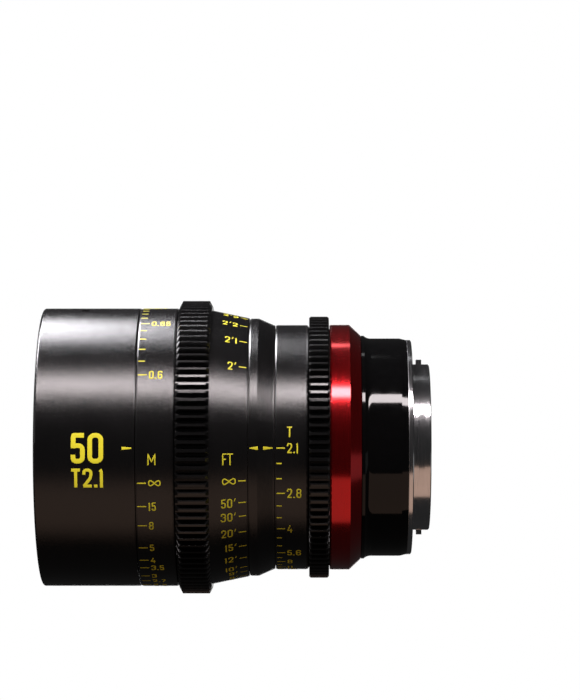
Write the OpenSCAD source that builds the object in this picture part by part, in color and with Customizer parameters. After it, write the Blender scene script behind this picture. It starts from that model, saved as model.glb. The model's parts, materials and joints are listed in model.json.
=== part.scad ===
// Cinema prime lens, 50 mm, with geared focus and iris rings and a three-tab bayonet.
// Sizes are in millimetres. The origin is the centre of the mount's flange face,
// +X is the way the light leaves the lens, -X is its front, and +Z is up.
// Inside the file every piece is turned about a local Z that points out of the front.

/* [Front barrel] */
// Front barrel's wall over the guide barrel; it sets the diameter that a matte box clamps on
front_wall = 6.5; // [6:0.05:9]
// Length of the front barrel
front_len = 29.8; // [28:0.1:36]
// Wall round the filter thread
filter_wall = 1.5; // [1.2:0.05:2]
// Depth of the filter thread
filter_len = 6; // [4.5:0.1:7]
// Rounding of the front rim
rim_round = 0.7; // [0.3:0.1:0.9]
// Diameter of the set screws that hold the front barrel
set_screw_d = 2.5; // [2:0.1:3]
// Set screws' distance back from the front rim
set_screw_back = 13.1; // [12:0.1:18]

/* [Gear teeth] */
// Module of both drive gears
gear_module = 0.8; // [0.79:0.005:1]
// Focus gear's wall from its bore to the roots of its teeth
focus_gear_wall = 4.7; // [4.4:0.05:6]
// Iris gear's wall from its seat to the roots of its teeth
iris_gear_wall = 1.5; // [1.3:0.05:2.5]
// Width of the focus gear
focus_gear_w = 9.9; // [8:0.1:14]
// Width of the iris gear
iris_gear_w = 6; // [5:0.1:8]
// Bevel along the axis at the ends of the focus teeth
focus_bevel = 0.9; // [0.4:0.1:1.4]
// Bevel along the axis at the ends of the iris teeth
iris_bevel = 0.45; // [0.2:0.05:0.8]

/* [Focus ring] */
// Wall of the metre ring over the cam sleeve
metre_wall = 4.19; // [3.6:0.01:5]
// Length of the metre ring
metre_len = 11.6; // [9:0.1:16]
// Wall of the feet cone beside the gear
cone_front_wall = 3.59; // [3.2:0.01:4.4]
// Wall of the feet cone beside the index ring
cone_rear_wall = 1.29; // [1:0.01:2.2]
// Length of the feet cone
cone_len = 11.3; // [10:0.1:16]
// Full turn of the focus ring in degrees
focus_travel = 330; // [200:5:330]
// Forward travel of the glass for one whole turn of the focus ring
focus_lead = 5.76; // [4:0.01:6.2]
// Wall of the cam sleeve
cam_wall = 2.2; // [2:0.05:2.4]
// Long screws that tie the focus ring together, shank diameter
focus_screw_d = 1.6; // [1.2:0.1:1.8]

/* [Iris ring] */
// Wall of the T-stop ring
iris_wall = 3.04; // [2.6:0.01:3.6]
// Length of the T-stop ring in front of its gear
iris_scale_len = 10.1; // [9.6:0.1:14]
// Full turn of the iris ring in degrees
iris_travel = 90; // [60:1:95]
// Wall of the T-stop ring under its gear
iris_seat_wall = 2.3; // [2.1:0.05:2.4]

/* [Fixed rings] */
// Wall of the index ring at its straight band
index_wall = 3.4; // [2.6:0.05:4.2]
// Length of the index ring
index_len = 7.6; // [7:0.1:12]
// Width of the index ring's straight band
index_band = 2.6; // [1.6:0.1:4]
// Wall of the red ring
red_wall = 3.9; // [3:0.05:5]
// Length of the red ring
red_len = 9.3; // [8:0.1:14]
// Wall of the red ring at its rear edge
red_rear_wall = 0.8; // [0.5:0.05:1.4]
// Length of the red ring's bevel
red_bevel = 3.3; // [1:0.1:5]
// Depth of the shallow bevel along the rings' edges
bevel_drop = 0.15; // [0.1:0.05:0.3]
// Width of the shallow bevel along the rings' edges
bevel_run = 0.45; // [0.3:0.05:0.8]
// Small bevel on the other edges
edge = 0.25; // [0.1:0.05:0.4]

/* [Mount] */
// Wall of the rear barrel over the guide barrel's tail
barrel_front_wall = 1.7; // [1.2:0.05:2.2]
// Length of the rear barrel
barrel_len = 14.05; // [12.5:0.05:18]
// Height of the rear barrel's front lip
lip_h = 0.85; // [0.6:0.05:1.2]
// Width of the rear barrel's front lip
lip_w = 1.1; // [0.8:0.1:2]
// Radius of the hollow fillet behind the lip
lip_fillet = 3; // [1.5:0.1:4]
// Wall of the rear barrel where the mount ring is screwed on
barrel_wall = 5.8; // [5:0.1:6]
// Step from the rear barrel down to the mount ring
flange_step = 0.5; // [0.4:0.05:1]
// Thickness of the mount ring
flange_t = 1.3; // [1.2:0.05:2]
// Thickness of the back focus shim
shim_t = 0.15; // [0.05:0.05:0.4]
// Clear diameter through the mount
throat_d = 45; // [44:0.1:47]
// Wall of the mount's spigot
spigot_wall = 2.9; // [2:0.05:3.2]
// Length of the spigot behind the flange
spigot_len = 5.5; // [4.5:0.1:6.5]
// Reach of the bayonet tabs from the spigot
tab_reach = 1.5; // [1:0.05:1.8]
// Thickness of the bayonet tabs
tab_t = 1.7; // [1.4:0.1:2]
// Gap between the flange face and the tabs
tab_gap = 1.7; // [1.4:0.1:2.2]
// Angle that each tab spans
tab_angle = 52; // [40:1:60]
// Gap between the tabs' outline and the flange face that meets the camera
face_gap = 0.4; // [0.2:0.05:0.8]
// Distance of the mount screws from the rear barrel's bore
mount_screw_inset = 2.5; // [2.2:0.05:2.8]
// Mount screws, shank diameter
mount_screw_d = 1.7; // [1.4:0.1:2]

/* [Guide barrel] */
// Step from the iris ring's land down to the red ring's land
red_step = 0.7; // [0.4:0.05:1]
// Step from the red ring's land down to the tail that carries the rear barrel
tail_step = 2; // [1.5:0.05:2.4]
// Length of the tail
tail_len = 7; // [5:0.1:8]
// Wall of the guide barrel under the focus ring
guide_wall = 2.6; // [2.2:0.05:2.9]
// Wall of the guide barrel under the iris ring
guide_rear_wall = 3; // [2.6:0.05:3.2]
// Wall of the tail
tail_wall = 2; // [1.5:0.05:2.6]

/* [Optical block] */
// Wall of the block's front tube
block_wall = 2.44; // [2.2:0.02:2.8]
// Wall of the block's rear tube
block_rear_wall = 3.59; // [3.2:0.01:4]
// Diameter of the three cam rollers
roller_d = 2; // [1.8:0.1:2.4]
// Diameter of the pins that the rollers turn on
roller_pin_d = 1.2; // [1:0.05:1.3]
// Wall of the front cell round the first element
cup_wall = 3.25; // [2.8:0.05:3.8]
// Step from the first element's rim in to the light trap behind it
trap_step = 3.5; // [2.6:0.1:5]
// Wall of the rear cell round the last element
rear_tube_wall = 2.96; // [2.2:0.02:3.4]

/* [Glass] */
// Each element: diameter, centre thickness, front radius, rear radius; minus is hollow, 0 is flat
glass_1 = [60, 3.2, 110, -31.8]; // [-150:0.01:150]
// Second element
glass_2 = [50, 7, 126, 126]; // [-150:0.01:150]
// Third element
glass_3 = [44, 6.56, 42.15, -114.2]; // [-150:0.01:150]
// Fourth element, cemented to the fifth
glass_4 = [37, 9.38, 28.26, 0]; // [-150:0.01:150]
// Fifth element
glass_5 = [37, 2.85, 0, -18.17]; // [-150:0.01:150]
// Sixth element, cemented to the seventh
glass_6 = [30, 2.85, -21.28, 0]; // [-150:0.01:150]
// Seventh element
glass_7 = [30, 8.25, 0, 28.44]; // [-150:0.01:150]
// Eighth element, at the rear
glass_8 = [36, 5.25, 133, 59.6]; // [-150:0.01:150]
// Flat rim round the hollow face of the first element
rim_1 = 6; // [5:0.1:7]
// Flat rim round the hollow face of the third element
rim_3 = 1; // [0.6:0.1:2]
// Flat rim round the hollow face of the fifth element
rim_5 = 5; // [4.6:0.1:6]
// Flat rim round the hollow face of the sixth element
rim_6 = 2.5; // [2:0.1:4]
// Air between the first and second elements
air_12 = 26.6; // [25:0.1:27.5]
// Air between the second and third elements
air_23 = 0.62; // [0.4:0.02:1]
// Air between the third and fourth elements
air_34 = 0.38; // [0.3:0.02:0.8]
// Distance from the iris to the fifth element
stop_to_5 = 12.32; // [12:0.02:13]
// Distance from the iris to the sixth element
stop_to_6 = 10.27; // [10:0.02:11]
// Air between the seventh and eighth elements
air_78 = 0.38; // [0.3:0.02:0.8]

/* [Iris] */
// Number of iris blades
blade_count = 9; // [7:1:9]
// Aperture of the open iris
stop_d = 22; // [20:0.1:22.6]
// Radius of a blade's inner edge
blade_inner_r = 11.2; // [11.1:0.1:11.5]
// Width of a blade
blade_w = 8; // [7:0.1:8.2]
// Thickness of a blade
blade_t = 0.12; // [0.08:0.01:0.14]
// Turn of each blade in degrees
blade_swing = 26.5; // [20:0.1:27]
// Distance of the blades' pivots from the blades' outer edge
pivot_out = 2.8; // [2.4:0.05:3.2]
// Margin of the iris plates outside the pivots
iris_margin = 5.6; // [5:0.05:6]
// Diameter of the blades' pins
blade_pin_d = 0.8; // [0.6:0.05:0.9]
// Angle from a blade's pivot to its drive pin
drive_angle = 24; // [22:0.5:25]
// Diameter of the pin between the iris ring and the cam ring
iris_pin_d = 2; // [1.6:0.1:2.2]
// Distance from the iris ring's rear edge to the iris plane
stop_offset = 4.45; // [4.3:0.05:5]

/* [Clearances] */
// Seam between a turning ring and a fixed one
seam = 0.25; // [0.15:0.05:0.4]
// Running clearance on a radius
run = 0.06; // [0.04:0.01:0.08]
// Clearance on a radius between pieces that stay together
fit = 0.05; // [0.02:0.01:0.06]
// Clearance between blades, and between blades and plates
blade_gap = 0.1; // [0.06:0.01:0.12]

/* [Hidden] */
$fn = 128;

// Stations along the axis, from the flange face forward
z_shim = flange_t;
z_barrel = z_shim + shim_t;
z_red = z_barrel + barrel_len;
z_red_front = z_red + red_len;
z_iris = z_red_front + seam;
z_iris_scale = z_iris + iris_gear_w;
z_iris_front = z_iris_scale + iris_scale_len;
z_index = z_iris_front + seam;
z_index_front = z_index + index_len;
z_cone = z_index_front + seam;
z_gear = z_cone + cone_len;
z_metre = z_gear + focus_gear_w;
z_metre_front = z_metre + metre_len;
z_front = z_metre_front + seam;
z_tip = z_front + front_len;
z_thread = z_tip - filter_len;

// Radii from the guide barrel outward and inward
glass_fit = 0.04;
block_r = glass_r(glass_1) + glass_fit + cup_wall + fit;
block_bore = block_r - block_wall;
cell_r = block_bore - fit;
guide_bore = block_r + run;
guide_r = guide_bore + guide_wall;
cam_bore = guide_r + run;
cam_r = cam_bore + cam_wall;
focus_bore = cam_r + fit;
metre_r = focus_bore + metre_wall;
cone_front_r = focus_bore + cone_front_wall;
cone_rear_r = focus_bore + cone_rear_wall;
index_r = guide_r + index_wall;
front_r = guide_r + front_wall;
filter_r = front_r - filter_wall;
blade_outer_r = blade_inner_r + blade_w;
pivot_r = blade_outer_r + pivot_out;
rear_cell_r = pivot_r + iris_margin;
block_rear_bore = rear_cell_r + fit;
block_rear_r = block_rear_bore + block_rear_wall;
guide_rear_bore = block_rear_r + run;
guide_rear_r = guide_rear_bore + guide_rear_wall;
iris_bore = guide_rear_r + run;
iris_seat_r = iris_bore + iris_seat_wall;
iris_r = iris_bore + iris_wall;
guide_red_r = guide_rear_r - red_step;
red_r = guide_red_r + red_wall;
red_rear_r = guide_red_r + red_rear_wall;
tail_r = guide_red_r - tail_step;
tail_bore = tail_r - tail_wall;

// Slip rings under the turning rings
slip_w = 1.9;
slip_t = 0.75;
slip_gap = 0.05;

// Guide barrel's steps
z_tail = z_red - tail_len;
z_tail_bore = z_red + 0.1;
z_guide_step = z_index_front - 2.4;
z_guide_bore = z_cone + 0.35;
baffle_len = 3.3;
z_guide_front = z_thread - baffle_len - fit;
baffle_r = filter_r - 1;
baffle_bore = guide_bore + 0.4;
baffle_mouth = filter_r - 1.6;
baffle_steps = 6;

// Focus cam, its rollers and its stop
z_roller = z_cone + 13.35;
roller_count = 3;
roller_pitch = 360 / roller_count;
roller_angle = 60;
focus_stroke = focus_lead * focus_travel / 360;
groove_w = roller_d + 2 * fit;
groove_r = cam_bore + 1.55;
groove_step = 10;
groove_end = 2.5;
roller_top = groove_r - 0.45;
stop_pin_d = 1.6;
stop_pin_angle = 200;
z_stop_pin = z_cone + 3.3;
stop_groove_r = cam_bore + 1.3;
stop_groove_w = stop_pin_d + 0.2;
stop_groove_end = 1.6;

// Long screws of the focus ring
focus_screw_r = focus_bore + 1.55;
focus_screw_count = 3;
focus_screw_head_d = focus_screw_d + 1.2;
focus_screw_head_t = 1.2;
focus_screw_bite = 3;

// Iris stack
blade_pitch_angle = 360 / blade_count;
level = blade_t + blade_gap;
stack = blade_count * level + blade_gap;
z_stop = z_iris + stop_offset;
z_base = z_stop + stack / 2;
base_t = 1.4;
z_base_front = z_base + base_t;
z_cam = z_base - stack;
cam_plate_t = 0.8;
cam_rim_h = 3.4;
cam_rim_w = 3.4;
z_cam_rear = z_cam - cam_rim_h;
z_iris_pin = z_cam_rear + cam_rim_h / 2;
cam_ring_r = block_rear_bore - run;
cam_ring_bore = blade_inner_r + 1.6;
cover_t = 1.35;
z_cover = z_cam_rear - blade_gap - cover_t;
blade_start = -3;
blade_span = 115;
ear_r = blade_pin_d / 2 + 0.6;
pin_hole_r = blade_pin_d / 2 + fit;
pivot_depth = base_t - 0.4;
drive_depth = cam_plate_t - 0.1;
slot_steps = 24;
cap_steps = 6;
iris_pin_angle = 100;
iris_pin_r = iris_pin_d / 2;
iris_pin_top = iris_bore + 1.6;
keyway_r = iris_pin_top + 0.2;
slot_end = 2.6;

// Glass positions: the rear vertex of each element
z_glass_5 = z_stop + stop_to_5;
z_glass_4 = z_glass_5 + glass_5[1];
z_glass_3 = z_glass_4 + glass_4[1] + air_34;
z_glass_2 = z_glass_3 + glass_3[1] + air_23;
z_glass_1 = z_glass_2 + glass_2[1] + air_12;
z_glass_6 = z_stop - stop_to_6 - glass_6[1];
z_glass_7 = z_glass_6 - glass_7[1];
z_glass_8 = z_glass_7 - air_78 - glass_8[1];

// Depth of a spherical face at a distance from the axis
function sag(radius, h) = radius - sqrt(radius * radius - h * h);
// Height of a face at a distance from the axis, flat beyond a hollow's rim
function front_face(g, z, h) =
    g[2] > 0 ? z + g[1] - sag(g[2], h) : g[2] < 0 ? z + g[1] + sag(-g[2], h) : z + g[1];
function rear_face(g, z, h) = g[3] > 0 ? z + sag(g[3], h) : g[3] < 0 ? z - sag(-g[3], h) : z;
function glass_r(g) = g[0] / 2;
function front_edge(g, z, rim = 0) = front_face(g, z, glass_r(g) - rim);
function rear_edge(g, z, rim = 0) = rear_face(g, z, glass_r(g) - rim);

// Seats of the cells and their rings
ring_clear = 0.12;
lip_overlap = 1.4;
seat_1 = rear_edge(glass_1, z_glass_1, rim_1);
top_1 = front_edge(glass_1, z_glass_1);
top_2 = front_edge(glass_2, z_glass_2);
seat_3 = rear_edge(glass_3, z_glass_3, rim_3);
top_3 = front_edge(glass_3, z_glass_3);
top_4 = front_edge(glass_4, z_glass_4);
seat_5 = rear_edge(glass_5, z_glass_5, rim_5);
top_6 = front_edge(glass_6, z_glass_6, rim_6);
seat_7 = rear_edge(glass_7, z_glass_7);
seat_8 = front_edge(glass_8, z_glass_8);
low_8 = rear_edge(glass_8, z_glass_8);
seat_lip_t = 1.5;
retainer_t = 2.2;
spacer_foot = 2.2;
spacer_wall = 1;
z_main_cell = seat_5 - seat_lip_t;
z_main_cell_front = max(front_face(glass_2, z_glass_2, 0), top_2 + retainer_t) + 1.4;
z_cup = seat_1 - 3.2;
z_bezel = top_1 + retainer_t + 0.6;
bezel_t = 1.1;
z_block = z_tail_bore + 0.4;
z_block_step = z_guide_bore + 1;
z_cell_step = z_block_step + 1.5;
block_shoulder_r = 20;
z_rear_cell = low_8 - 3.2;
z_rear_nose = top_6 + retainer_t - 0.6;
rear_nose_r = glass_r(glass_6) + 2.5;
bezel_bore = glass_r(glass_1) - 1.6;
trap_r = glass_r(glass_1) - trap_step;
trap_pitch = 2;
trap_depth = 0.8;
trap_count = floor((seat_1 - 2 - z_main_cell_front) / trap_pitch);

// Mount details
barrel_r = tail_r + fit + barrel_front_wall;
flange_r = barrel_r - flange_step;
lip_r = barrel_r + lip_h;
lip_run = sqrt(pow(lip_fillet, 2) - pow(lip_fillet - lip_h, 2));
throat_r = throat_d / 2;
spigot_r = throat_r + spigot_wall;
tab_r = spigot_r + tab_reach;
face_r = tab_r + face_gap;
rear_tube_r = glass_r(glass_8) + glass_fit + rear_tube_wall;
boss_bore = rear_tube_r + 1.5;
face_relief = 0.4;
barrel_bore = barrel_r - barrel_wall;
mount_screw_r = barrel_bore + mount_screw_inset;
boss_len = 1.6;
tab_count = 3;
mount_screw_count = 4;
mount_screw_head_d = mount_screw_d + 2;
mount_screw_head_t = 0.95;
mount_screw_len = 5;
mount_screw_sink = 0.05;
lock_angle = 90;
lock_w = 2.2;
lock_len = 2.4;
barrel_chamfer = 2;
rear_baffle_rear_r = throat_r - 2.4;
rear_baffle_front_r = throat_r - 1.2;

// Colours
satin_black = [0.07, 0.07, 0.075];
gloss_black = [0.03, 0.03, 0.032];
deep_red = [0.6, 0.03, 0.06];
chrome = [0.78, 0.78, 0.8];
brass = [0.72, 0.58, 0.3];
steel = [0.5, 0.5, 0.52];
blade_grey = [0.16, 0.16, 0.17];
dark_plastic = [0.03, 0.029, 0.027];
glass_tint = [0.62, 0.76, 0.82, 0.45];

// Turns the local axis to the lens's own axis
module on_axis() {
    rotate([0, -90, 0]) children();
}

// A turned piece from its half profile of [radius, height] points
module turned(profile) {
    rotate_extrude() polygon(profile);
}

// A plain ring between two radii and two heights
module ring(inner, outer, low, high) {
    turned([[inner, low], [outer, low], [outer, high], [inner, high]]);
}

// Part of a ring that starts at an angle and spans another
module ring_sector(inner, outer, low, high, start, span) {
    rotate([0, 0, start])
        rotate_extrude(angle = span)
            polygon([[inner, low], [outer, low], [outer, high], [inner, high]]);
}

// Stands its children on a radius, with their own Z pointing outward
module radial(angle, z, radius) {
    rotate([0, 0, angle]) translate([radius, 0, z]) rotate([0, 90, 0]) children();
}

// Two notches across a ring's face for a spanner
module spanner_notches(radius, low) {
    for (side = [0, 180])
        rotate([0, 0, side])
            translate([radius - 1.5, -0.6, low])
                cube([3, 1.2, 3]);
}

// Height of the focus teeth that is left at their end faces
bevel_land = 0.1;
// Half angle of an involute tooth at a radius, in degrees
pressure = 20;
function involute(angle) = tan(angle) * 180 / PI - angle;
function half_tooth(teeth, radius) =
    let (base = gear_module * teeth / 2 * cos(pressure))
    90 / teeth + involute(pressure) - involute(acos(base / radius));
addendum = 1;
dedendum = 1.25;
function tip_radius(teeth) = gear_module * (teeth / 2 + addendum);
function root_radius(teeth) = gear_module * (teeth / 2 - dedendum);
// Whole number of teeth whose roots lie nearest to a radius
function teeth_over(radius) = round(2 * (radius / gear_module + dedendum));
focus_teeth = teeth_over(focus_bore + focus_gear_wall);
iris_teeth = teeth_over(iris_seat_r + fit + iris_gear_wall);
function polar(radius, angle) = [radius * cos(angle), radius * sin(angle)];

// Outline of a spur gear, root to tip and back for each tooth
function gear_outline(teeth) =
    let (root = root_radius(teeth), tip = tip_radius(teeth))
    let (low = half_tooth(teeth, root), high = half_tooth(teeth, tip))
    [for (i = [0 : teeth - 1], side = [0 : 3])
        let (at = 360 * i / teeth)
        side == 0 ? polar(root, at - low) :
        side == 1 ? polar(tip, at - high) :
        side == 2 ? polar(tip, at + high) : polar(root, at + low)];

// A gear ring with bevelled tooth ends
module gear_ring(teeth, bore, low, width, bevel_r, bevel_z) {
    tip = tip_radius(teeth);
    intersection() {
        translate([0, 0, low]) linear_extrude(width) polygon(gear_outline(teeth));
        turned([[bore, low], [tip - bevel_r, low], [tip + fit, low + bevel_z * (bevel_r + fit) / bevel_r],
                [tip + fit, low + width - bevel_z * (bevel_r + fit) / bevel_r],
                [tip - bevel_r, low + width], [bore, low + width]]);
    }
}

// Fixed pieces
module front_barrel_profile() {
    difference() {
        polygon([
            [guide_r + slip_w + fit, z_front], [front_r - bevel_drop, z_front], [front_r, z_front + bevel_run],
            [front_r, z_tip], [filter_r + edge, z_tip], [filter_r, z_tip - edge], [filter_r, z_thread],
            [baffle_r + fit, z_thread], [baffle_r + fit, z_guide_front],
            [guide_r + fit, z_guide_front], [guide_r + fit, z_front + slip_t - slip_gap - 0.15],
            [guide_r + slip_w + fit, z_front + slip_t - slip_gap - 0.15]]);
        translate([front_r - rim_round, z_tip - rim_round])
            difference() {
                square(rim_round + 1);
                circle(rim_round);
            }
    }
}

z_set_screw = z_tip - set_screw_back;
set_screw_angles = [347, 167];

module front_barrel() {
    color(satin_black) on_axis() difference() {
        rotate_extrude() front_barrel_profile();
        for (a = set_screw_angles)
            radial(a, z_set_screw, guide_r - 1) cylinder(d = set_screw_d + 2 * fit, h = front_r);
    }
}

module front_set_screws() {
    color(steel) on_axis()
        for (a = set_screw_angles)
            radial(a, z_set_screw, guide_r)
                difference() {
                    cylinder(d = set_screw_d, h = front_r - guide_r - 0.5);
                    translate([0, 0, front_r - guide_r - 1.7])
                        cylinder(d = set_screw_d * 0.55, h = 2, $fn = 6);
                }
}

module front_baffle() {
    rise = baffle_len / baffle_steps;
    reach = (baffle_mouth - baffle_bore) / baffle_steps;
    color(satin_black) on_axis() turned(concat(
        [[baffle_r, z_guide_front], [baffle_r, z_guide_front + baffle_len]],
        [for (i = [baffle_steps - 1 : -1 : 0])
            each [[baffle_bore + reach * (i + 1), z_guide_front + rise * (i + 1)],
                  [baffle_bore + reach * i, z_guide_front + rise * (i + 0.55)]]],
        [[baffle_bore, z_guide_front]]));
}

module guide_slot(angle, low, high) {
    radial(angle, low, guide_bore - 3) cylinder(d = groove_w, h = 8);
    radial(angle, high, guide_bore - 3) cylinder(d = groove_w, h = 8);
    rotate([0, 0, angle])
        translate([guide_bore - 3, -groove_w / 2, low])
            cube([8, groove_w, high - low]);
}

module guide_barrel() {
    color(satin_black) on_axis() difference() {
        turned([
            [tail_bore, z_tail], [tail_r, z_tail], [tail_r, z_red], [guide_red_r, z_red],
            [guide_red_r, z_red_front], [guide_rear_r, z_red_front], [guide_rear_r, z_guide_step],
            [guide_r, z_guide_step], [guide_r, z_guide_front], [guide_bore, z_guide_front],
            [guide_bore, z_guide_bore], [guide_rear_bore, z_guide_bore],
            [guide_rear_bore, z_tail_bore], [tail_bore, z_tail_bore]]);
        for (k = [0 : roller_count - 1])
            guide_slot(roller_angle - k * roller_pitch,
                       z_roller + k * focus_lead / roller_count,
                       z_roller + k * focus_lead / roller_count + focus_stroke);
        ring_sector(guide_rear_bore - 1, guide_rear_r + 1,
                    z_iris_pin - iris_pin_r - 0.1, z_iris_pin + iris_pin_r + focus_stroke + 0.1,
                    iris_pin_angle - slot_end, iris_travel + 2 * slot_end);
        radial(stop_pin_angle, z_stop_pin, guide_bore - 1) cylinder(d = stop_pin_d + 2 * fit, h = 6);
    }
}

module focus_stop_pin() {
    color(steel) on_axis()
        radial(stop_pin_angle, z_stop_pin, guide_bore + 0.1)
            cylinder(d = stop_pin_d, h = stop_groove_r - 0.15 - guide_bore - 0.1);
}

module index_ring() {
    recess = slip_t - slip_gap - 0.15;
    color(satin_black) on_axis() turned([
        [guide_rear_r + slip_w + fit, z_index], [iris_r - bevel_drop, z_index], [iris_r, z_index + bevel_run],
        [index_r, z_index_front - index_band], [index_r, z_index_front - bevel_run],
        [index_r - bevel_drop, z_index_front],
        [guide_r + slip_w + fit, z_index_front], [guide_r + slip_w + fit, z_index_front - recess],
        [guide_r + fit, z_index_front - recess], [guide_r + fit, z_guide_step],
        [guide_rear_r + fit, z_guide_step], [guide_rear_r + fit, z_index + recess],
        [guide_rear_r + slip_w + fit, z_index + recess]]);
}

module focus_slip_rings() {
    recess = slip_t - slip_gap - 0.15;
    color(dark_plastic) on_axis() {
        ring(guide_r + fit, guide_r + slip_w, z_index_front - recess, z_index_front - recess + slip_t);
        ring(guide_r + fit, guide_r + slip_w, z_front + recess - slip_t, z_front + recess);
    }
}

module iris_slip_rings() {
    recess = slip_t - slip_gap - 0.15;
    color(dark_plastic) on_axis() {
        ring(guide_rear_r + fit, guide_rear_r + slip_w, z_red_front - recess, z_red_front - recess + slip_t);
        ring(guide_rear_r + fit, guide_rear_r + slip_w, z_index + recess - slip_t, z_index + recess);
    }
}

module red_ring() {
    recess = slip_t - slip_gap - 0.15;
    color(deep_red) on_axis() turned([
        [guide_red_r + fit, z_red], [red_rear_r, z_red], [red_r, z_red + red_bevel],
        [red_r, z_red_front - bevel_run], [red_r - bevel_drop, z_red_front],
        [guide_rear_r + slip_w + fit, z_red_front], [guide_rear_r + slip_w + fit, z_red_front - recess],
        [guide_red_r + fit, z_red_front - recess]]);
}

module rear_barrel_profile() {
    difference() {
        polygon([
            [barrel_bore, z_barrel], [flange_r, z_barrel], [barrel_r, z_barrel + barrel_chamfer],
            [barrel_r, z_red - lip_w - lip_run], [lip_r, z_red - lip_w],
            [lip_r, z_red - edge], [lip_r - edge, z_red],
            [tail_r + fit, z_red], [tail_r + fit, z_tail], [barrel_bore, z_tail]]);
        translate([barrel_r + lip_fillet, z_red - lip_w - lip_run]) circle(lip_fillet);
    }
}

module rear_barrel() {
    color(gloss_black) on_axis() difference() {
        rotate_extrude() rear_barrel_profile();
        for (i = [0 : mount_screw_count - 1])
            rotate([0, 0, 45 + i * 360 / mount_screw_count])
                translate([mount_screw_r, 0, z_barrel - 1])
                    cylinder(d = mount_screw_d + 2 * fit, h = mount_screw_len + 1);
    }
}

module mount_shim() {
    color(steel) on_axis() difference() {
        ring(barrel_bore, flange_r, z_shim, z_barrel);
        for (i = [0 : mount_screw_count - 1])
            rotate([0, 0, 45 + i * 360 / mount_screw_count])
                translate([mount_screw_r, 0, 0])
                    cylinder(d = mount_screw_d + 2 * fit, h = z_barrel + 1);
    }
}

// One countersunk screw that points forward, with its head's face at zero
module countersunk(extra, length) {
    union() {
        cylinder(d1 = mount_screw_head_d + 2 * extra, d2 = mount_screw_d + 2 * extra, h = mount_screw_head_t);
        translate([0, 0, mount_screw_head_t - 0.01]) cylinder(d = mount_screw_d + 2 * extra, h = length);
    }
}

module mount_ring() {
    color(chrome) on_axis() difference() {
        union() {
            turned([
                [throat_r, -spigot_len], [spigot_r - 0.3, -spigot_len], [spigot_r, 0.3 - spigot_len],
                [spigot_r, face_relief], [face_r, face_relief], [face_r, 0], [flange_r - edge, 0],
                [flange_r, edge], [flange_r, flange_t], [barrel_bore - fit, flange_t],
                [barrel_bore - fit, flange_t + boss_len], [boss_bore, flange_t + boss_len],
                [boss_bore, flange_t], [throat_r, flange_t]]);
            for (i = [0 : tab_count - 1])
                ring_sector(spigot_r - 0.5, tab_r, -tab_gap - tab_t, -tab_gap,
                            lock_angle + 60 + i * 120 - tab_angle / 2, tab_angle);
        }
        for (i = [0 : mount_screw_count - 1])
            rotate([0, 0, 45 + i * 360 / mount_screw_count]) translate([mount_screw_r, 0, 0]) {
                translate([0, 0, mount_screw_sink]) countersunk(fit, 4);
                translate([0, 0, mount_screw_sink - 1])
                    cylinder(d = mount_screw_head_d + 2 * fit, h = 1);
            }
        rotate([0, 0, lock_angle]) translate([mount_screw_r, 0, -1]) {
            for (side = [-1, 1])
                translate([0, side * lock_len / 2, 0]) cylinder(d = lock_w, h = flange_t + 0.6);
            translate([-lock_w / 2, -lock_len / 2, 0]) cube([lock_w, lock_len, flange_t + 0.6]);
        }
    }
}

module mount_screws() {
    color(steel) on_axis()
        for (i = [0 : mount_screw_count - 1])
            rotate([0, 0, 45 + i * 360 / mount_screw_count])
                translate([mount_screw_r, 0, mount_screw_sink])
                    difference() {
                        countersunk(0, mount_screw_len - 0.8);
                        for (turn = [0, 90])
                            rotate([0, 0, turn]) translate([-0.8, -0.15, -0.1]) cube([1.6, 0.3, 0.5]);
                    }
}

module rear_baffle() {
    color(satin_black) on_axis() turned([
        [rear_baffle_rear_r, -spigot_len + 0.2], [throat_r - fit, -spigot_len + 0.2],
        [throat_r - fit, flange_t], [rear_baffle_front_r, flange_t],
        [rear_baffle_front_r, -spigot_len + 1.4], [rear_baffle_rear_r, -spigot_len + 1.4]]);
}

// Focus ring
module focus_screw_holes(extra) {
    for (i = [0 : focus_screw_count - 1])
        rotate([0, 0, 30 + i * 360 / focus_screw_count])
            translate([focus_screw_r, 0, z_gear - focus_screw_bite])
                cylinder(d = focus_screw_d + 2 * extra, h = z_metre_front - z_gear + focus_screw_bite);
}

module focus_screw_heads(extra, low, high) {
    for (i = [0 : focus_screw_count - 1])
        rotate([0, 0, 30 + i * 360 / focus_screw_count])
            translate([focus_screw_r, 0, low])
                cylinder(d = focus_screw_head_d + 2 * extra, h = high - low);
}

z_focus_head = z_metre_front - focus_screw_head_t - 0.2;

module metre_ring() {
    neck = 0.45;
    neck_deep = 0.9;
    lip = 1;
    color(satin_black) on_axis() difference() {
        turned([
            [focus_bore, z_metre], [metre_r - neck_deep, z_metre], [metre_r - bevel_drop, z_metre + neck],
            [metre_r, z_metre + neck + bevel_run],
            [metre_r, z_metre_front - bevel_run], [metre_r - bevel_drop, z_metre_front],
            [guide_r + run, z_metre_front], [guide_r + run, z_metre_front - lip],
            [focus_bore, z_metre_front - lip]]);
        focus_screw_holes(fit);
        focus_screw_heads(fit, z_focus_head, z_metre_front + 1);
    }
}

module focus_gear() {
    color(satin_black) on_axis() difference() {
        gear_ring(focus_teeth, focus_bore, z_gear, focus_gear_w,
                  tip_radius(focus_teeth) - root_radius(focus_teeth) - bevel_land, focus_bevel);
        focus_screw_holes(fit);
    }
}

module feet_ring() {
    lip = 1;
    color(satin_black) on_axis() difference() {
        turned([
            [guide_r + run, z_cone], [cone_rear_r - bevel_drop, z_cone], [cone_rear_r, z_cone + bevel_run],
            [cone_front_r, z_gear], [focus_bore, z_gear], [focus_bore, z_cone + lip],
            [guide_r + run, z_cone + lip]]);
        focus_screw_holes(fit);
    }
}

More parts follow.
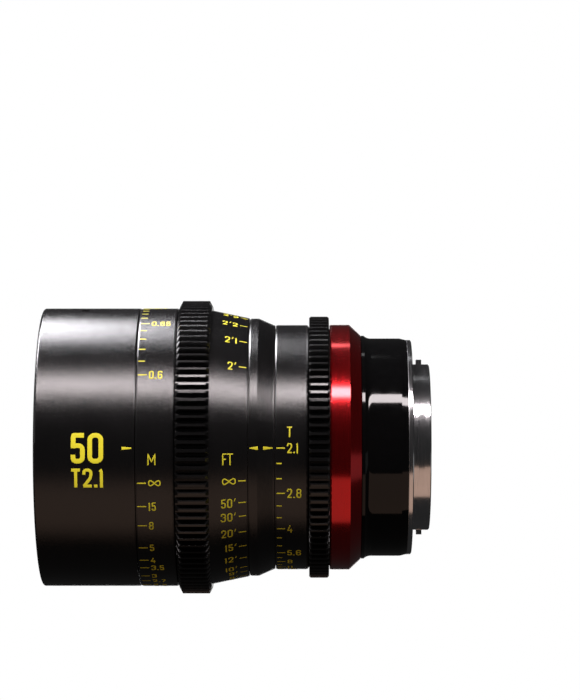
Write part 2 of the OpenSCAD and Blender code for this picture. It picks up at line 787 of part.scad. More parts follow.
module focus_screws() {
    color(steel) on_axis()
        for (i = [0 : focus_screw_count - 1])
            rotate([0, 0, 30 + i * 360 / focus_screw_count])
                translate([focus_screw_r, 0, 0])
                    difference() {
                        union() {
                            translate([0, 0, z_gear - focus_screw_bite + 0.2])
                                cylinder(d = focus_screw_d, h = z_focus_head - z_gear + focus_screw_bite);
                            translate([0, 0, z_focus_head])
                                cylinder(d = focus_screw_head_d, h = focus_screw_head_t);
                        }
                        translate([-2, -0.2, z_focus_head + focus_screw_head_t - 0.5]) cube([4, 0.4, 1]);
                    }
}

// Helical groove that the rollers climb in, as one unbroken sweep
groove_span = focus_travel + roller_pitch * (roller_count - 1) + 2 * groove_end;
groove_rings = ceil(groove_span / groove_step);
function groove_turn(j) = -groove_end + groove_span * j / groove_rings;
function groove_corner(j, c) =
    let (turn = groove_turn(j), z = z_roller + focus_lead * turn / 360)
    let (radius = c < 2 ? cam_bore - 0.4 : groove_r)
    let (side = (c == 0 || c == 3) ? -1 : 1)
    [radius * cos(roller_angle - turn), radius * sin(roller_angle - turn), z + side * groove_w / 2];

module cam_groove() {
    last = 4 * groove_rings;
    polyhedron(
        points = [for (j = [0 : groove_rings], c = [0 : 3]) groove_corner(j, c)],
        faces = concat(
            [[0, 2, 1], [0, 3, 2]],
            [[last, last + 1, last + 2], [last, last + 2, last + 3]],
            [for (j = [0 : groove_rings - 1], c = [0 : 3])
                let (a = 4 * j + c, b = 4 * j + (c + 1) % 4)
                each [[a, b + 4, a + 4], [a, b, b + 4]]]));
}

module focus_cam_sleeve() {
    color(brass) on_axis() difference() {
        ring(cam_bore, cam_r, z_cone + 1 + fit, z_metre_front - 1 - fit);
        cam_groove();
        ring_sector(cam_bore - 0.5, stop_groove_r, z_stop_pin - stop_groove_w / 2, z_stop_pin + stop_groove_w / 2,
                    stop_pin_angle - focus_travel - stop_groove_end, focus_travel + 2 * stop_groove_end);
    }
}

// Optical block
module block_tube() {
    color(satin_black) on_axis() difference() {
        turned([
            [block_rear_bore, z_block], [block_rear_r, z_block], [block_rear_r, z_block_step],
            [block_r, z_block_step], [block_r, z_cup], [block_bore, z_cup], [block_bore, z_cell_step],
            [block_rear_bore, z_cell_step], [block_rear_bore, z_main_cell],
            [block_shoulder_r, z_main_cell], [block_shoulder_r, z_base_front],
            [block_rear_bore, z_base_front]]);
        for (k = [0 : roller_count - 1])
            radial(roller_angle - k * roller_pitch, z_roller + k * focus_lead / roller_count, block_bore - 1)
                cylinder(d = roller_pin_d + 2 * fit, h = 6);
        ring_sector(block_rear_bore - 1, block_rear_r + 1,
                    z_iris_pin - iris_pin_r - fit, z_iris_pin + iris_pin_r + fit,
                    iris_pin_angle - slot_end, iris_travel + 2 * slot_end);
    }
}

module roller_pins() {
    color(steel) on_axis()
        for (k = [0 : roller_count - 1])
            radial(roller_angle - k * roller_pitch, z_roller + k * focus_lead / roller_count, block_bore + 0.2)
                cylinder(d = roller_pin_d, h = roller_top - block_bore - 0.2);
}

module cam_rollers() {
    color(brass) on_axis()
        for (k = [0 : roller_count - 1])
            radial(roller_angle - k * roller_pitch, z_roller + k * focus_lead / roller_count, block_r + 0.1)
                difference() {
                    cylinder(d = roller_d, h = roller_top - block_r - 0.2);
                    translate([0, 0, -1]) cylinder(d = roller_pin_d + 2 * fit, h = 10);
                }
}

module front_cell() {
    color(satin_black) on_axis() turned(concat(
        [[trap_r, z_main_cell_front], [cell_r, z_main_cell_front], [cell_r, z_cup], [block_r - fit, z_cup],
         [block_r - fit, z_bezel], [glass_r(glass_1) + glass_fit, z_bezel],
         [glass_r(glass_1) + glass_fit, seat_1], [trap_r, seat_1]],
        [for (i = [trap_count - 1 : -1 : 0])
            each [[trap_r, z_main_cell_front + 1 + (i + 0.8) * trap_pitch],
                  [trap_r + trap_depth, z_main_cell_front + 1 + (i + 0.7) * trap_pitch],
                  [trap_r, z_main_cell_front + 1 + i * trap_pitch]]]));
}

module front_bezel() {
    rim = glass_r(glass_1) + glass_fit - fit;
    color(satin_black) on_axis() turned([
        [bezel_bore, front_face(glass_1, z_glass_1, bezel_bore) + ring_clear], [rim, top_1 + ring_clear / 3],
        [rim, z_bezel], [block_r - fit, z_bezel], [block_r - fit, z_bezel + bezel_t - edge],
        [block_r - fit - edge, z_bezel + bezel_t], [bezel_bore + 1.2, z_bezel + bezel_t]]);
}

module main_cell() {
    bore_5 = glass_r(glass_5) + glass_fit;
    bore_3 = glass_r(glass_3) + glass_fit;
    bore_2 = glass_r(glass_2) + glass_fit;
    color(satin_black) on_axis() turned([
        [glass_r(glass_5) - rim_5 + 0.6, z_main_cell], [rear_cell_r, z_main_cell], [rear_cell_r, z_cell_step],
        [cell_r, z_cell_step], [cell_r, z_main_cell_front], [bore_2, z_main_cell_front],
        [bore_2, top_3 + spacer_foot], [bore_3, top_3 + spacer_foot], [bore_3, seat_3],
        [glass_r(glass_3) - lip_overlap, seat_3], [glass_r(glass_3) - lip_overlap, top_4 + retainer_t],
        [bore_5, top_4 + retainer_t], [bore_5, seat_5], [glass_r(glass_5) - rim_5 + 0.6, seat_5]]);
}

module second_retainer() {
    rim = glass_r(glass_2) + glass_fit - fit;
    inner = glass_r(glass_2) - 1.6;
    color(satin_black) on_axis() difference() {
        turned([[inner, front_face(glass_2, z_glass_2, inner) + ring_clear], [rim, top_2 + ring_clear / 3],
                [rim, top_2 + retainer_t], [inner, top_2 + retainer_t]]);
        spanner_notches(rim, top_2 + retainer_t - 0.8);
    }
}

module group_spacer() {
    foot_r = glass_r(glass_3) + glass_fit - fit;
    head_r = glass_r(glass_2) + glass_fit - fit;
    foot_in = foot_r - spacer_wall;
    head_in = head_r - spacer_wall;
    knee = top_3 + spacer_foot;
    color(satin_black) on_axis() turned([
        [foot_in, front_face(glass_3, z_glass_3, foot_in) + ring_clear], [foot_r, top_3 + ring_clear / 3],
        [foot_r, knee + fit], [head_r, knee + fit],
        [head_r, rear_edge(glass_2, z_glass_2) - ring_clear / 3],
        [head_in, rear_face(glass_2, z_glass_2, head_in) - ring_clear],
        [head_in, knee + spacer_wall + 0.4], [foot_in, knee + spacer_wall + 0.4]]);
}

module front_doublet_retainer() {
    rim = glass_r(glass_4) + glass_fit - fit;
    inner = glass_r(glass_4) - 1.2;
    color(satin_black) on_axis() difference() {
        turned([[inner, front_face(glass_4, z_glass_4, inner) + ring_clear], [rim, top_4 + ring_clear / 3],
                [rim, top_4 + retainer_t], [inner, top_4 + retainer_t]]);
        spanner_notches(rim, top_4 + retainer_t - 0.6);
    }
}

module rear_cell() {
    bore_7 = glass_r(glass_7) + glass_fit;
    bore_8 = glass_r(glass_8) + glass_fit;
    lip_7 = glass_r(glass_7) - 1.1;
    lip_8 = glass_r(glass_8) - 1.6;
    color(satin_black) on_axis() turned([
        [bore_8, z_rear_cell], [rear_tube_r - edge, z_rear_cell], [rear_tube_r, z_rear_cell + edge],
        [rear_tube_r, z_block], [rear_cell_r, z_block], [rear_cell_r, z_cover], [rear_nose_r, z_cover],
        [rear_nose_r, z_rear_nose], [bore_7, z_rear_nose], [bore_7, seat_7],
        [lip_7, rear_face(glass_7, z_glass_7, lip_7) - ring_clear],
        [lip_7, rear_face(glass_7, z_glass_7, lip_7) - 2], [lip_8, seat_8 + 0.4],
        [bore_8, seat_8 + ring_clear / 3]]);
}

module rear_doublet_retainer() {
    rim = glass_r(glass_6) + glass_fit - fit;
    inner = glass_r(glass_6) - rim_6 + 0.4;
    color(satin_black) on_axis() difference() {
        ring(inner, rim, top_6, z_rear_nose - 0.2);
        spanner_notches(rim, z_rear_nose - 0.8);
    }
}

module rear_retainer() {
    rim = glass_r(glass_8) + glass_fit - fit;
    inner = glass_r(glass_8) - 1.4;
    color(satin_black) on_axis() difference() {
        turned([[inner, z_rear_cell + 0.2], [rim, z_rear_cell + 0.2], [rim, low_8 - ring_clear / 3],
                [inner, rear_face(glass_8, z_glass_8, inner) - ring_clear]]);
        spanner_notches(rim, z_rear_cell - 2.2);
    }
}

// A lens element from its diameter, thickness and two radii
module dome(radius, centre, low, high, r) {
    if (radius > 0) {
        translate([0, 0, centre]) sphere(radius, $fn = 256);
    } else {
        translate([0, 0, low - 1]) cylinder(r = r + 1, h = high - low + 2);
    }
}

module element(g, z, rim = 0) {
    r = glass_r(g);
    low = min(z, rear_edge(g, z, rim));
    high = max(z + g[1], front_edge(g, z, rim));
    color(glass_tint) on_axis() difference() {
        intersection() {
            translate([0, 0, low]) cylinder(r = r, h = high - low);
            dome(g[2], z + g[1] - g[2], low, high, r);
            dome(g[3], z + g[3], low, high, r);
        }
        if (g[2] < 0) translate([0, 0, z + g[1] - g[2]]) sphere(-g[2], $fn = 256);
        if (g[3] < 0) translate([0, 0, z + g[3]]) sphere(-g[3], $fn = 256);
    }
}

module glass_element_1() { element(glass_1, z_glass_1, rim_1); }
module glass_element_2() { element(glass_2, z_glass_2); }
module glass_element_3() { element(glass_3, z_glass_3, rim_3); }
module glass_element_4() { element(glass_4, z_glass_4); }
module glass_element_5() { element(glass_5, z_glass_5, rim_5); }
module glass_element_6() { element(glass_6, z_glass_6, rim_6); }
module glass_element_7() { element(glass_7, z_glass_7); }
module glass_element_8() { element(glass_8, z_glass_8); }

// Iris
module iris_base() {
    color(blade_grey) on_axis() difference() {
        ring(stop_d / 2, rear_cell_r, z_base, z_base_front);
        for (i = [0 : blade_count - 1])
            rotate([0, 0, i * blade_pitch_angle])
                translate([pivot_r, 0, z_base - 1])
                    cylinder(r = pin_hole_r, h = base_t + 2, $fn = 32);
    }
}

module iris_cover() {
    color(blade_grey) on_axis() ring(rear_nose_r + 0.3, rear_cell_r, z_cover, z_cover + cover_t);
}

// Drive pin's place on the cam ring for a share of the full travel
function turned_by(p, angle) = [p[0] * cos(angle) - p[1] * sin(angle), p[0] * sin(angle) + p[1] * cos(angle)];
function drive_path(share) =
    let (pivot = [pivot_r, 0], rest = polar(pivot_r, drive_angle))
    turned_by(pivot + turned_by(rest - pivot, share * blade_swing), -share * iris_travel);
function drive_heading(share) =
    let (d = drive_path(share + 0.01) - drive_path(share - 0.01))
    atan2(d[1], d[0]);

// Outline of one cam slot: along one side, round the end, back and round the start
function slot_outline() =
    let (last = drive_heading(1), first = drive_heading(0))
    concat(
        [for (j = [0 : slot_steps])
            drive_path(j / slot_steps) + polar(pin_hole_r, drive_heading(j / slot_steps) - 90)],
        [for (c = [1 : cap_steps - 1]) drive_path(1) + polar(pin_hole_r, last - 90 + 180 * c / cap_steps)],
        [for (j = [slot_steps : -1 : 0])
            drive_path(j / slot_steps) + polar(pin_hole_r, drive_heading(j / slot_steps) + 90)],
        [for (c = [1 : cap_steps - 1]) drive_path(0) + polar(pin_hole_r, first + 90 + 180 * c / cap_steps)]);

module iris_cam_ring() {
    color(steel) on_axis() difference() {
        turned([
            [cam_ring_bore, z_cam - cam_plate_t], [cam_ring_r - cam_rim_w, z_cam - cam_plate_t],
            [cam_ring_r - cam_rim_w, z_cam_rear], [cam_ring_r, z_cam_rear], [cam_ring_r, z_cam],
            [cam_ring_bore, z_cam]]);
        for (i = [0 : blade_count - 1])
            rotate([0, 0, i * blade_pitch_angle])
                translate([0, 0, z_cam - cam_plate_t - 0.5])
                    linear_extrude(cam_plate_t + 1) polygon(slot_outline());
        radial(iris_pin_angle, z_iris_pin, cam_ring_r - cam_rim_w - 1) cylinder(d = iris_pin_d + 2 * fit, h = 8);
    }
}

module iris_drive_pin() {
    color(steel) on_axis()
        radial(iris_pin_angle, z_iris_pin, cam_ring_r - cam_rim_w + 0.2)
            cylinder(d = iris_pin_d, h = iris_pin_top - cam_ring_r + cam_rim_w - 0.2);
}

// One blade: a curved band, an ear for its pivot and an ear for its drive pin
module blade_ear(angle) {
    rotate([0, 0, angle]) {
        translate([pivot_r, 0, 0]) cylinder(r = ear_r, h = blade_t, $fn = 48);
        translate([blade_outer_r - 1, -ear_r, 0]) cube([pivot_r - blade_outer_r + 1, 2 * ear_r, blade_t]);
    }
}

module iris_blade(i) {
    face = z_base - blade_gap - i * level;
    color(blade_grey) on_axis() rotate([0, 0, i * blade_pitch_angle]) {
        translate([0, 0, face - blade_t]) {
            ring_sector(blade_inner_r, blade_outer_r, 0, blade_t, blade_start, blade_span);
            blade_ear(0);
            blade_ear(drive_angle);
        }
        translate([pivot_r, 0, face - blade_t])
            cylinder(d = blade_pin_d, h = z_base + pivot_depth - face + blade_t, $fn = 32);
        rotate([0, 0, drive_angle])
            translate([pivot_r, 0, z_cam - drive_depth])
                cylinder(d = blade_pin_d, h = face - z_cam + drive_depth, $fn = 32);
    }
}

// Iris ring
module iris_scale_ring() {
    neck = 0.4;
    color(satin_black) on_axis() difference() {
        turned([
            [iris_bore, z_iris], [iris_seat_r, z_iris], [iris_seat_r, z_iris_scale],
            [iris_r - bevel_drop, z_iris_scale + neck], [iris_r, z_iris_scale + neck + bevel_run],
            [iris_r, z_iris_front - bevel_run], [iris_r - bevel_drop, z_iris_front],
            [iris_bore, z_iris_front]]);
        rotate([0, 0, iris_pin_angle])
            translate([iris_bore - 1, -iris_pin_r - fit, z_iris_pin - iris_pin_r - 0.2])
                cube([keyway_r - iris_bore + 1, iris_pin_d + 2 * fit, z_iris_front - z_iris]);
    }
}

module iris_gear() {
    color(satin_black) on_axis()
        gear_ring(iris_teeth, iris_seat_r + fit, z_iris, iris_gear_w, iris_bevel, iris_bevel);
}

front_barrel();
front_set_screws();
front_baffle();
guide_barrel();
index_ring();
red_ring();
rear_barrel();
mount_shim();
mount_ring();
mount_screws();
rear_baffle();
focus_slip_rings();
iris_slip_rings();
focus_stop_pin();
metre_ring();
focus_gear();
feet_ring();
focus_cam_sleeve();
focus_screws();
block_tube();
cam_rollers();
roller_pins();
front_cell();
front_bezel();
main_cell();
glass_element_1();
glass_element_2();
glass_element_3();
glass_element_4();
glass_element_5();
glass_element_6();
glass_element_7();
glass_element_8();
second_retainer();
group_spacer();
front_doublet_retainer();
rear_cell();
rear_doublet_retainer();
rear_retainer();
iris_base();
iris_cover();
iris_cam_ring();
iris_drive_pin();
iris_scale_ring();
iris_gear();
for (i = [0 : blade_count - 1])
    iris_blade(i);
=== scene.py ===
"""Looks of a cinema prime lens: its finishes, painted scales, filter thread, studio and camera."""

import json
import math

import bpy
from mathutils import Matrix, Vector


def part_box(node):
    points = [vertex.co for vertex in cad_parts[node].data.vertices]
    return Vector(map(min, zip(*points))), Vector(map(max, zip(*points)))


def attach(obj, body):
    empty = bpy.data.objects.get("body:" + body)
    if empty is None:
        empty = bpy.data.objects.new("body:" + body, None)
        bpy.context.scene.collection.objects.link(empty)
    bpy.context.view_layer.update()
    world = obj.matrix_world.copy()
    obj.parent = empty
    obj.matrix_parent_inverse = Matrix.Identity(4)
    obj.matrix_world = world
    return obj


bl_info = {
    "name": "Cinema prime lens",
    "version": (1, 0, 0),
    "blender": (4, 5, 0),
    "location": "View3D > Sidebar > Lens",
    "description": "Gives the lens's solids their finishes, painted scales, filter thread and studio",
    "category": "Object",
}

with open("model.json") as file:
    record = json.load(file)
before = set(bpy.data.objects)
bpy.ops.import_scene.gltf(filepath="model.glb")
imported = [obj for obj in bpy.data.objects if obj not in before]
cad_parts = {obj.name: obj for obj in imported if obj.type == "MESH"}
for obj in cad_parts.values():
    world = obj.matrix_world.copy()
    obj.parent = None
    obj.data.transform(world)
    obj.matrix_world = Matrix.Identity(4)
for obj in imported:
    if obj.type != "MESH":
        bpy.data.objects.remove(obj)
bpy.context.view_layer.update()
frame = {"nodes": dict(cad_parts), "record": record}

MM = 0.001
WHITE = (1, 1, 1)
BLACK = (0, 0, 0)


class LensColours(bpy.types.PropertyGroup):
    """Colours of the lens's finishes, in linear light"""

    satin_black: bpy.props.FloatVectorProperty(
        name="Satin black", description="Anodised barrels and rings", subtype="COLOR", size=3,
        min=0, max=1, default=(0.003, 0.003, 0.0031))
    gear_black: bpy.props.FloatVectorProperty(
        name="Gear black", description="Anodised gear teeth", subtype="COLOR", size=3,
        min=0, max=1, default=(0.003, 0.003, 0.0031))
    red: bpy.props.FloatVectorProperty(
        name="Red", description="Red anodised ring", subtype="COLOR", size=3,
        min=0, max=1, default=(0.56, 0.006, 0.010))
    gloss_black: bpy.props.FloatVectorProperty(
        name="Gloss black", description="Polished rear barrel", subtype="COLOR", size=3,
        min=0, max=1, default=(0.0015, 0.0015, 0.0016))
    chrome: bpy.props.FloatVectorProperty(
        name="Chrome", description="Plated bayonet", subtype="COLOR", size=3,
        min=0, max=1, default=(0.72, 0.72, 0.74))
    steel: bpy.props.FloatVectorProperty(
        name="Steel", description="Screws and pins", subtype="COLOR", size=3,
        min=0, max=1, default=(0.42, 0.42, 0.43))
    brass: bpy.props.FloatVectorProperty(
        name="Brass", description="Cam rollers and shim", subtype="COLOR", size=3,
        min=0, max=1, default=(0.68, 0.50, 0.22))
    slip_plastic: bpy.props.FloatVectorProperty(
        name="Slip plastic", description="Slip rings under the turning rings", subtype="COLOR", size=3,
        min=0, max=1, default=(0.03, 0.029, 0.027))
    iris_black: bpy.props.FloatVectorProperty(
        name="Iris black", description="Coated iris blades", subtype="COLOR", size=3,
        min=0, max=1, default=(0.018, 0.018, 0.019))
    baffle_black: bpy.props.FloatVectorProperty(
        name="Baffle black", description="Matt baffles", subtype="COLOR", size=3,
        min=0, max=1, default=(0.008, 0.008, 0.008))
    paint: bpy.props.FloatVectorProperty(
        name="Scale paint", description="Paint of the marks and scales", subtype="COLOR", size=3,
        min=0, max=1, default=(0.55, 0.50, 0.022))
    coating: bpy.props.FloatVectorProperty(
        name="Lens coating", description="Tint of the glass's reflections", subtype="COLOR", size=3,
        min=0, max=1, default=(0.45, 0.36, 0.95))


class LensMarks(bpy.types.PropertyGroup):
    """Sizes of the painted marks"""

    number_height: bpy.props.FloatProperty(
        name="Focal length height", description="Height of the focal length on the front barrel",
        unit="LENGTH", default=8.95 * MM)
    number_stroke: bpy.props.FloatProperty(
        name="Focal length stroke", description="Stroke of the focal length",
        unit="LENGTH", default=1.38 * MM)
    speed_height: bpy.props.FloatProperty(
        name="Speed height", description="Height of the widest T-stop on the front barrel",
        unit="LENGTH", default=5.7 * MM)
    speed_stroke: bpy.props.FloatProperty(
        name="Speed stroke", description="Stroke of the widest T-stop",
        unit="LENGTH", default=0.9 * MM)
    metre_height: bpy.props.FloatProperty(
        name="Metre figures", description="Height of the metre scale's figures",
        unit="LENGTH", default=2.75 * MM)
    feet_height: bpy.props.FloatProperty(
        name="Feet figures", description="Height of the feet scale's figures",
        unit="LENGTH", default=3.0 * MM)
    stop_height: bpy.props.FloatProperty(
        name="T-stop figures", description="Height of the T-stop scale's figures",
        unit="LENGTH", default=3.0 * MM)
    figure_stroke: bpy.props.FloatProperty(
        name="Figure stroke", description="Stroke of the scales' figures",
        unit="LENGTH", default=0.40 * MM)
    sign_stroke: bpy.props.FloatProperty(
        name="Sign stroke", description="Stroke of the scales' unit letters and infinity signs",
        unit="LENGTH", default=0.35 * MM)
    tick_stroke: bpy.props.FloatProperty(
        name="Tick stroke", description="Width of the scales' ticks",
        unit="LENGTH", default=0.37 * MM)
    paint_height: bpy.props.FloatProperty(
        name="Paint height", description="How far the paint stands proud",
        unit="LENGTH", default=0.03 * MM)


class LensStudio(bpy.types.PropertyGroup):
    """Lights, floor and camera"""

    key_level: bpy.props.FloatProperty(
        name="Key light", description="Brightness of the strip in front of and above the lens", default=29)
    top_level: bpy.props.FloatProperty(
        name="Top light", description="Brightness of the strip above and behind the lens", default=31)
    fill_level: bpy.props.FloatProperty(
        name="Fill light", description="Brightness of the strip beside the top light", default=4)
    bounce_level: bpy.props.FloatProperty(
        name="Bounce light", description="Brightness of the warm card below the lens", default=0.48)
    rear_level: bpy.props.FloatProperty(
        name="Rear light", description="Brightness of the light beyond the mount", default=0.2)
    front_level: bpy.props.FloatProperty(
        name="Front light", description="Brightness of the soft light before the glass", default=0.45)
    floor_depth: bpy.props.FloatProperty(
        name="Floor depth", description="Floor's distance below the lens's axis",
        unit="LENGTH", default=0.28)
    floor_colour: bpy.props.FloatVectorProperty(
        name="Floor colour", description="Pale floor", subtype="COLOR", size=3, min=0, max=1,
        default=(0.78, 0.77, 0.76))
    camera_distance: bpy.props.FloatProperty(
        name="Camera distance", description="Camera's distance from the lens's axis",
        unit="LENGTH", default=0.925)
    camera_along: bpy.props.FloatProperty(
        name="Camera along", description="Camera's place along the lens",
        unit="LENGTH", default=-0.0308)


# Shader maths

# Most of a noise's values lie between these two
NOISE_LOW = 0.3
NOISE_HIGH = 0.7


class Wire:
    """A shader node's output that works in sums and products as a number does"""

    def __init__(self, net, socket):
        self.net = net
        self.socket = socket

    def combine(self, operation, first, second):
        return self.net.node("ShaderNodeMath", {"operation": operation}, {0: first, 1: second})

    def __add__(self, other):
        return self.combine("ADD", self, other)

    def __radd__(self, other):
        return self.combine("ADD", other, self)

    def __mul__(self, other):
        return self.combine("MULTIPLY", self, other)

    def __rmul__(self, other):
        return self.combine("MULTIPLY", other, self)


class Net:
    """A tree of shader nodes"""

    def __init__(self, tree):
        self.tree = tree

    def node(self, kind, settings=None, inputs=None, output=0):
        """Adds a node and gives one of its outputs."""
        made = self.tree.nodes.new(kind)
        for key, value in (settings or {}).items():
            setattr(made, key, value)
        self.feed(made, inputs or {})
        return Wire(self, made.outputs[output])

    def feed(self, made, inputs):
        for key, value in inputs.items():
            socket = made.inputs[key]
            if isinstance(value, Wire):
                self.tree.links.new(value.socket, socket)
            else:
                socket.default_value = value


def shade(colour, level):
    return tuple(channel * level for channel in colour)


def mixed(first, second, share):
    """A sum of two values, of which the first makes up a share."""
    return first * share + second * (1 - share)


class Finish(Net):
    """A procedural material, the nodes it is made of and its shader"""

    def __init__(self, name, shader_inputs):
        self.material = bpy.data.materials.new(name)
        self.material.use_nodes = True
        super().__init__(self.material.node_tree)
        self.shader = self.tree.nodes["Principled BSDF"]
        self.feed(self.shader, shader_inputs)

    def place(self, stretch=(1, 1, 1)):
        """The point on the lens, in metres, stretched along each axis."""
        point = self.node("ShaderNodeTexCoord", output="Object")
        return self.node("ShaderNodeVectorMath", {"operation": "MULTIPLY"}, {0: point, 1: stretch})

    def noise(self, grain, detail=2.0, stretch=(1, 1, 1)):
        """Noise from 0 to 1 whose lumps are about one grain wide."""
        return self.node("ShaderNodeTexNoise", None,
                         {"Vector": self.place(stretch), "Scale": 1 / grain, "Detail": detail})

    def span(self, wire, low, high, start, end):
        """Maps low to high onto start to end, and holds the ends."""
        return self.node("ShaderNodeMapRange", {"clamp": True}, {
            "Value": wire, "From Min": low, "From Max": high, "To Min": start, "To Max": end})

    def swing(self, wire, start, end):
        """Spreads a noise from start to end."""
        return self.span(wire, NOISE_LOW, NOISE_HIGH, start, end)

    def around(self, wire, value, below, above):
        """A value that varies from a little below itself to a little above."""
        return self.swing(wire, value - below, value + above)

    def blend(self, wire, first, second):
        """A colour between two others, of which the first may vary."""
        start = first if isinstance(first, Wire) else (*first, 1)
        return self.node("ShaderNodeMix", {"data_type": "RGBA"},
                         {0: wire, 6: start, 7: (*second, 1)}, output=2)

    def tone(self, wire, colour, dark, light):
        """A colour that varies from a darker to a lighter share of itself."""
        return self.blend(wire, shade(colour, dark), shade(colour, light))

    def bump(self, wire, strength, depth):
        return self.node("ShaderNodeBump", None, {
            "Height": wire, "Strength": strength, "Distance": depth})

    def wear(self, inputs):
        """Feeds what varies over the surface to the shader."""
        self.feed(self.shader, inputs)
        return self.material


# Finishes

GLASS_IOR = 1.52
GLASS_DUSTY = (0.97, 0.985, 0.98)
GLASS_CLEAR = (0.99, 1.0, 0.995)
RING_STRETCH = (1, 0.02, 0.02)

# The front barrel's big marks end at the first of these places, and the fine scales start at the second
BIG_MARKS_END = -82.6 * MM
FINE_MARKS_START = -82.0 * MM


def anodised(name, colour, roughness, grain, relief):
    """Bead-blasted anodised metal: fine grain, with broad changes of sheen."""
    finish = Finish(name, {"Specular IOR Level": 0.5})
    fine = finish.noise(grain, detail=1.0)
    broad = finish.noise(14 * MM, detail=3.0)
    mottle = finish.swing(mixed(fine, broad, share=0.7), 0, 1)
    return finish.wear({
        "Base Color": finish.tone(mottle, colour, dark=0.7, light=1.4),
        "Roughness": finish.around(mixed(fine, broad, share=0.5), roughness, below=0.02, above=0.02),
        "Normal": finish.bump(fine, strength=1.0, depth=relief)})


def turned_metal(name, colour, roughness, grain, relief, metallic=1.0, coat=0.0):
    """Metal with the fine rings that a lathe leaves along the lens's axis."""
    finish = Finish(name, {"Metallic": metallic, "Coat Roughness": 0.14, "Coat Weight": coat})
    rings = finish.noise(grain, detail=2.0, stretch=RING_STRETCH)
    broad = finish.noise(9 * MM, detail=2.0)
    mottle = finish.swing(mixed(rings, broad, share=0.6), 0, 1)
    return finish.wear({
        "Base Color": finish.tone(mottle, colour, dark=0.85, light=1.1),
        "Roughness": finish.around(rings, roughness, below=0.03, above=0.04),
        "Normal": finish.bump(rings, strength=0.2, depth=relief)})


def polished(name, colour, roughness, spread):
    """Smooth dark lacquer with a faint haze."""
    finish = Finish(name, {"Specular IOR Level": 0.3})
    haze = finish.noise(3 * MM, detail=3.0)
    dust = finish.noise(0.25 * MM, detail=1.0)
    return finish.wear({
        "Base Color": finish.tone(haze, colour, dark=0.8, light=1.3),
        "Roughness": finish.around(mixed(haze, dust, share=0.7), roughness, below=spread, above=spread),
        "Normal": finish.bump(dust, strength=0.02, depth=0.01 * MM)})


def matt(name, colour, roughness, grain, relief):
    """Dull coating with a visible grain."""
    finish = Finish(name, {"Specular IOR Level": 0.3})
    fine = finish.noise(grain, detail=3.0)
    return finish.wear({
        "Base Color": finish.tone(fine, colour, dark=0.7, light=1.3),
        "Roughness": finish.around(fine, roughness, below=0.08, above=0.08),
        "Normal": finish.bump(fine, strength=0.3, depth=relief)})


def scale_paint(name, colour, roughness, grain):
    """Dull paint, brighter in the front barrel's big marks than on the fine scales."""
    finish = Finish(name, {"Specular IOR Level": 0.3})
    fine = finish.noise(grain, detail=3.0)
    along = finish.node("ShaderNodeSeparateXYZ", None, {0: finish.place()}, output="X")
    big = finish.span(along, BIG_MARKS_END, FINE_MARKS_START, 1, 0)
    cover = mixed(finish.swing(fine, 0, 1), big, share=0.5)
    return finish.wear({
        "Base Color": finish.tone(cover, colour, dark=0.84, light=1.36),
        "Roughness": finish.around(fine, roughness, below=0.08, above=0.08)})


def coated_glass(name, coating):
    """Clear optical glass with tinted reflections and a trace of dust."""
    finish = Finish(name, {"Transmission Weight": 1.0, "IOR": GLASS_IOR, "Specular IOR Level": 0.2,
                           "Specular Tint": (*coating, 1)})
    dust = finish.noise(0.8 * MM, detail=2.0)
    return finish.wear({
        "Base Color": finish.blend(dust, GLASS_DUSTY, GLASS_CLEAR),
        "Roughness": finish.span(dust, low=0.55, high=0.8, start=0.0, end=0.02)})


def make_finishes():
    """One material for each of the record's slots."""
    colours = bpy.context.scene.lens_colours
    return {
        "satin_black": anodised(
            "satin_black", colours.satin_black, roughness=0.2, grain=0.14 * MM, relief=0.028 * MM),
        "gear_black": anodised(
            "gear_black", colours.gear_black, roughness=0.21, grain=0.2 * MM, relief=0.012 * MM),
        "red_anodised": turned_metal(
            "red_anodised", colours.red, roughness=0.16, grain=0.12 * MM, relief=0.01 * MM,
            metallic=0.97, coat=0.6),
        "gloss_black": polished(
            "gloss_black", colours.gloss_black, roughness=0.07, spread=0.021),
        "chrome": turned_metal(
            "chrome", colours.chrome, roughness=0.14, grain=0.1 * MM, relief=0.008 * MM),
        "steel": turned_metal(
            "steel", colours.steel, roughness=0.3, grain=0.15 * MM, relief=0.02 * MM),
        "brass": turned_metal(
            "brass", colours.brass, roughness=0.28, grain=0.15 * MM, relief=0.02 * MM),
        "slip_plastic": matt(
            "slip_plastic", colours.slip_plastic, roughness=0.45, grain=0.4 * MM, relief=0.02 * MM),
        "iris_black": matt(
            "iris_black", colours.iris_black, roughness=0.42, grain=0.12 * MM, relief=0.01 * MM),
        "baffle_black": matt(
            "baffle_black", colours.baffle_black, roughness=0.75, grain=0.2 * MM, relief=0.03 * MM),
        "scale_paint": scale_paint(
            "scale_paint", colours.paint, roughness=0.5, grain=0.15 * MM),
        "glass": coated_glass("glass", colours.coating),
    }


# Stroke figures, drawn on a box one unit wide and one high

CORNER_STEPS = 5
ARC_HANDLE = 0.55
LONGEST_STEP = 0.5 * MM
FIGURE_WIDTH = 0.43
WIDE_GAP = 0.13
CLOSE_GAP = 0.085
ROUND = 0.42
SOFT = 0.12
SHARP = 0.0
LEFT = 0.0
MIDDLE = 0.5
RIGHT = 1.0

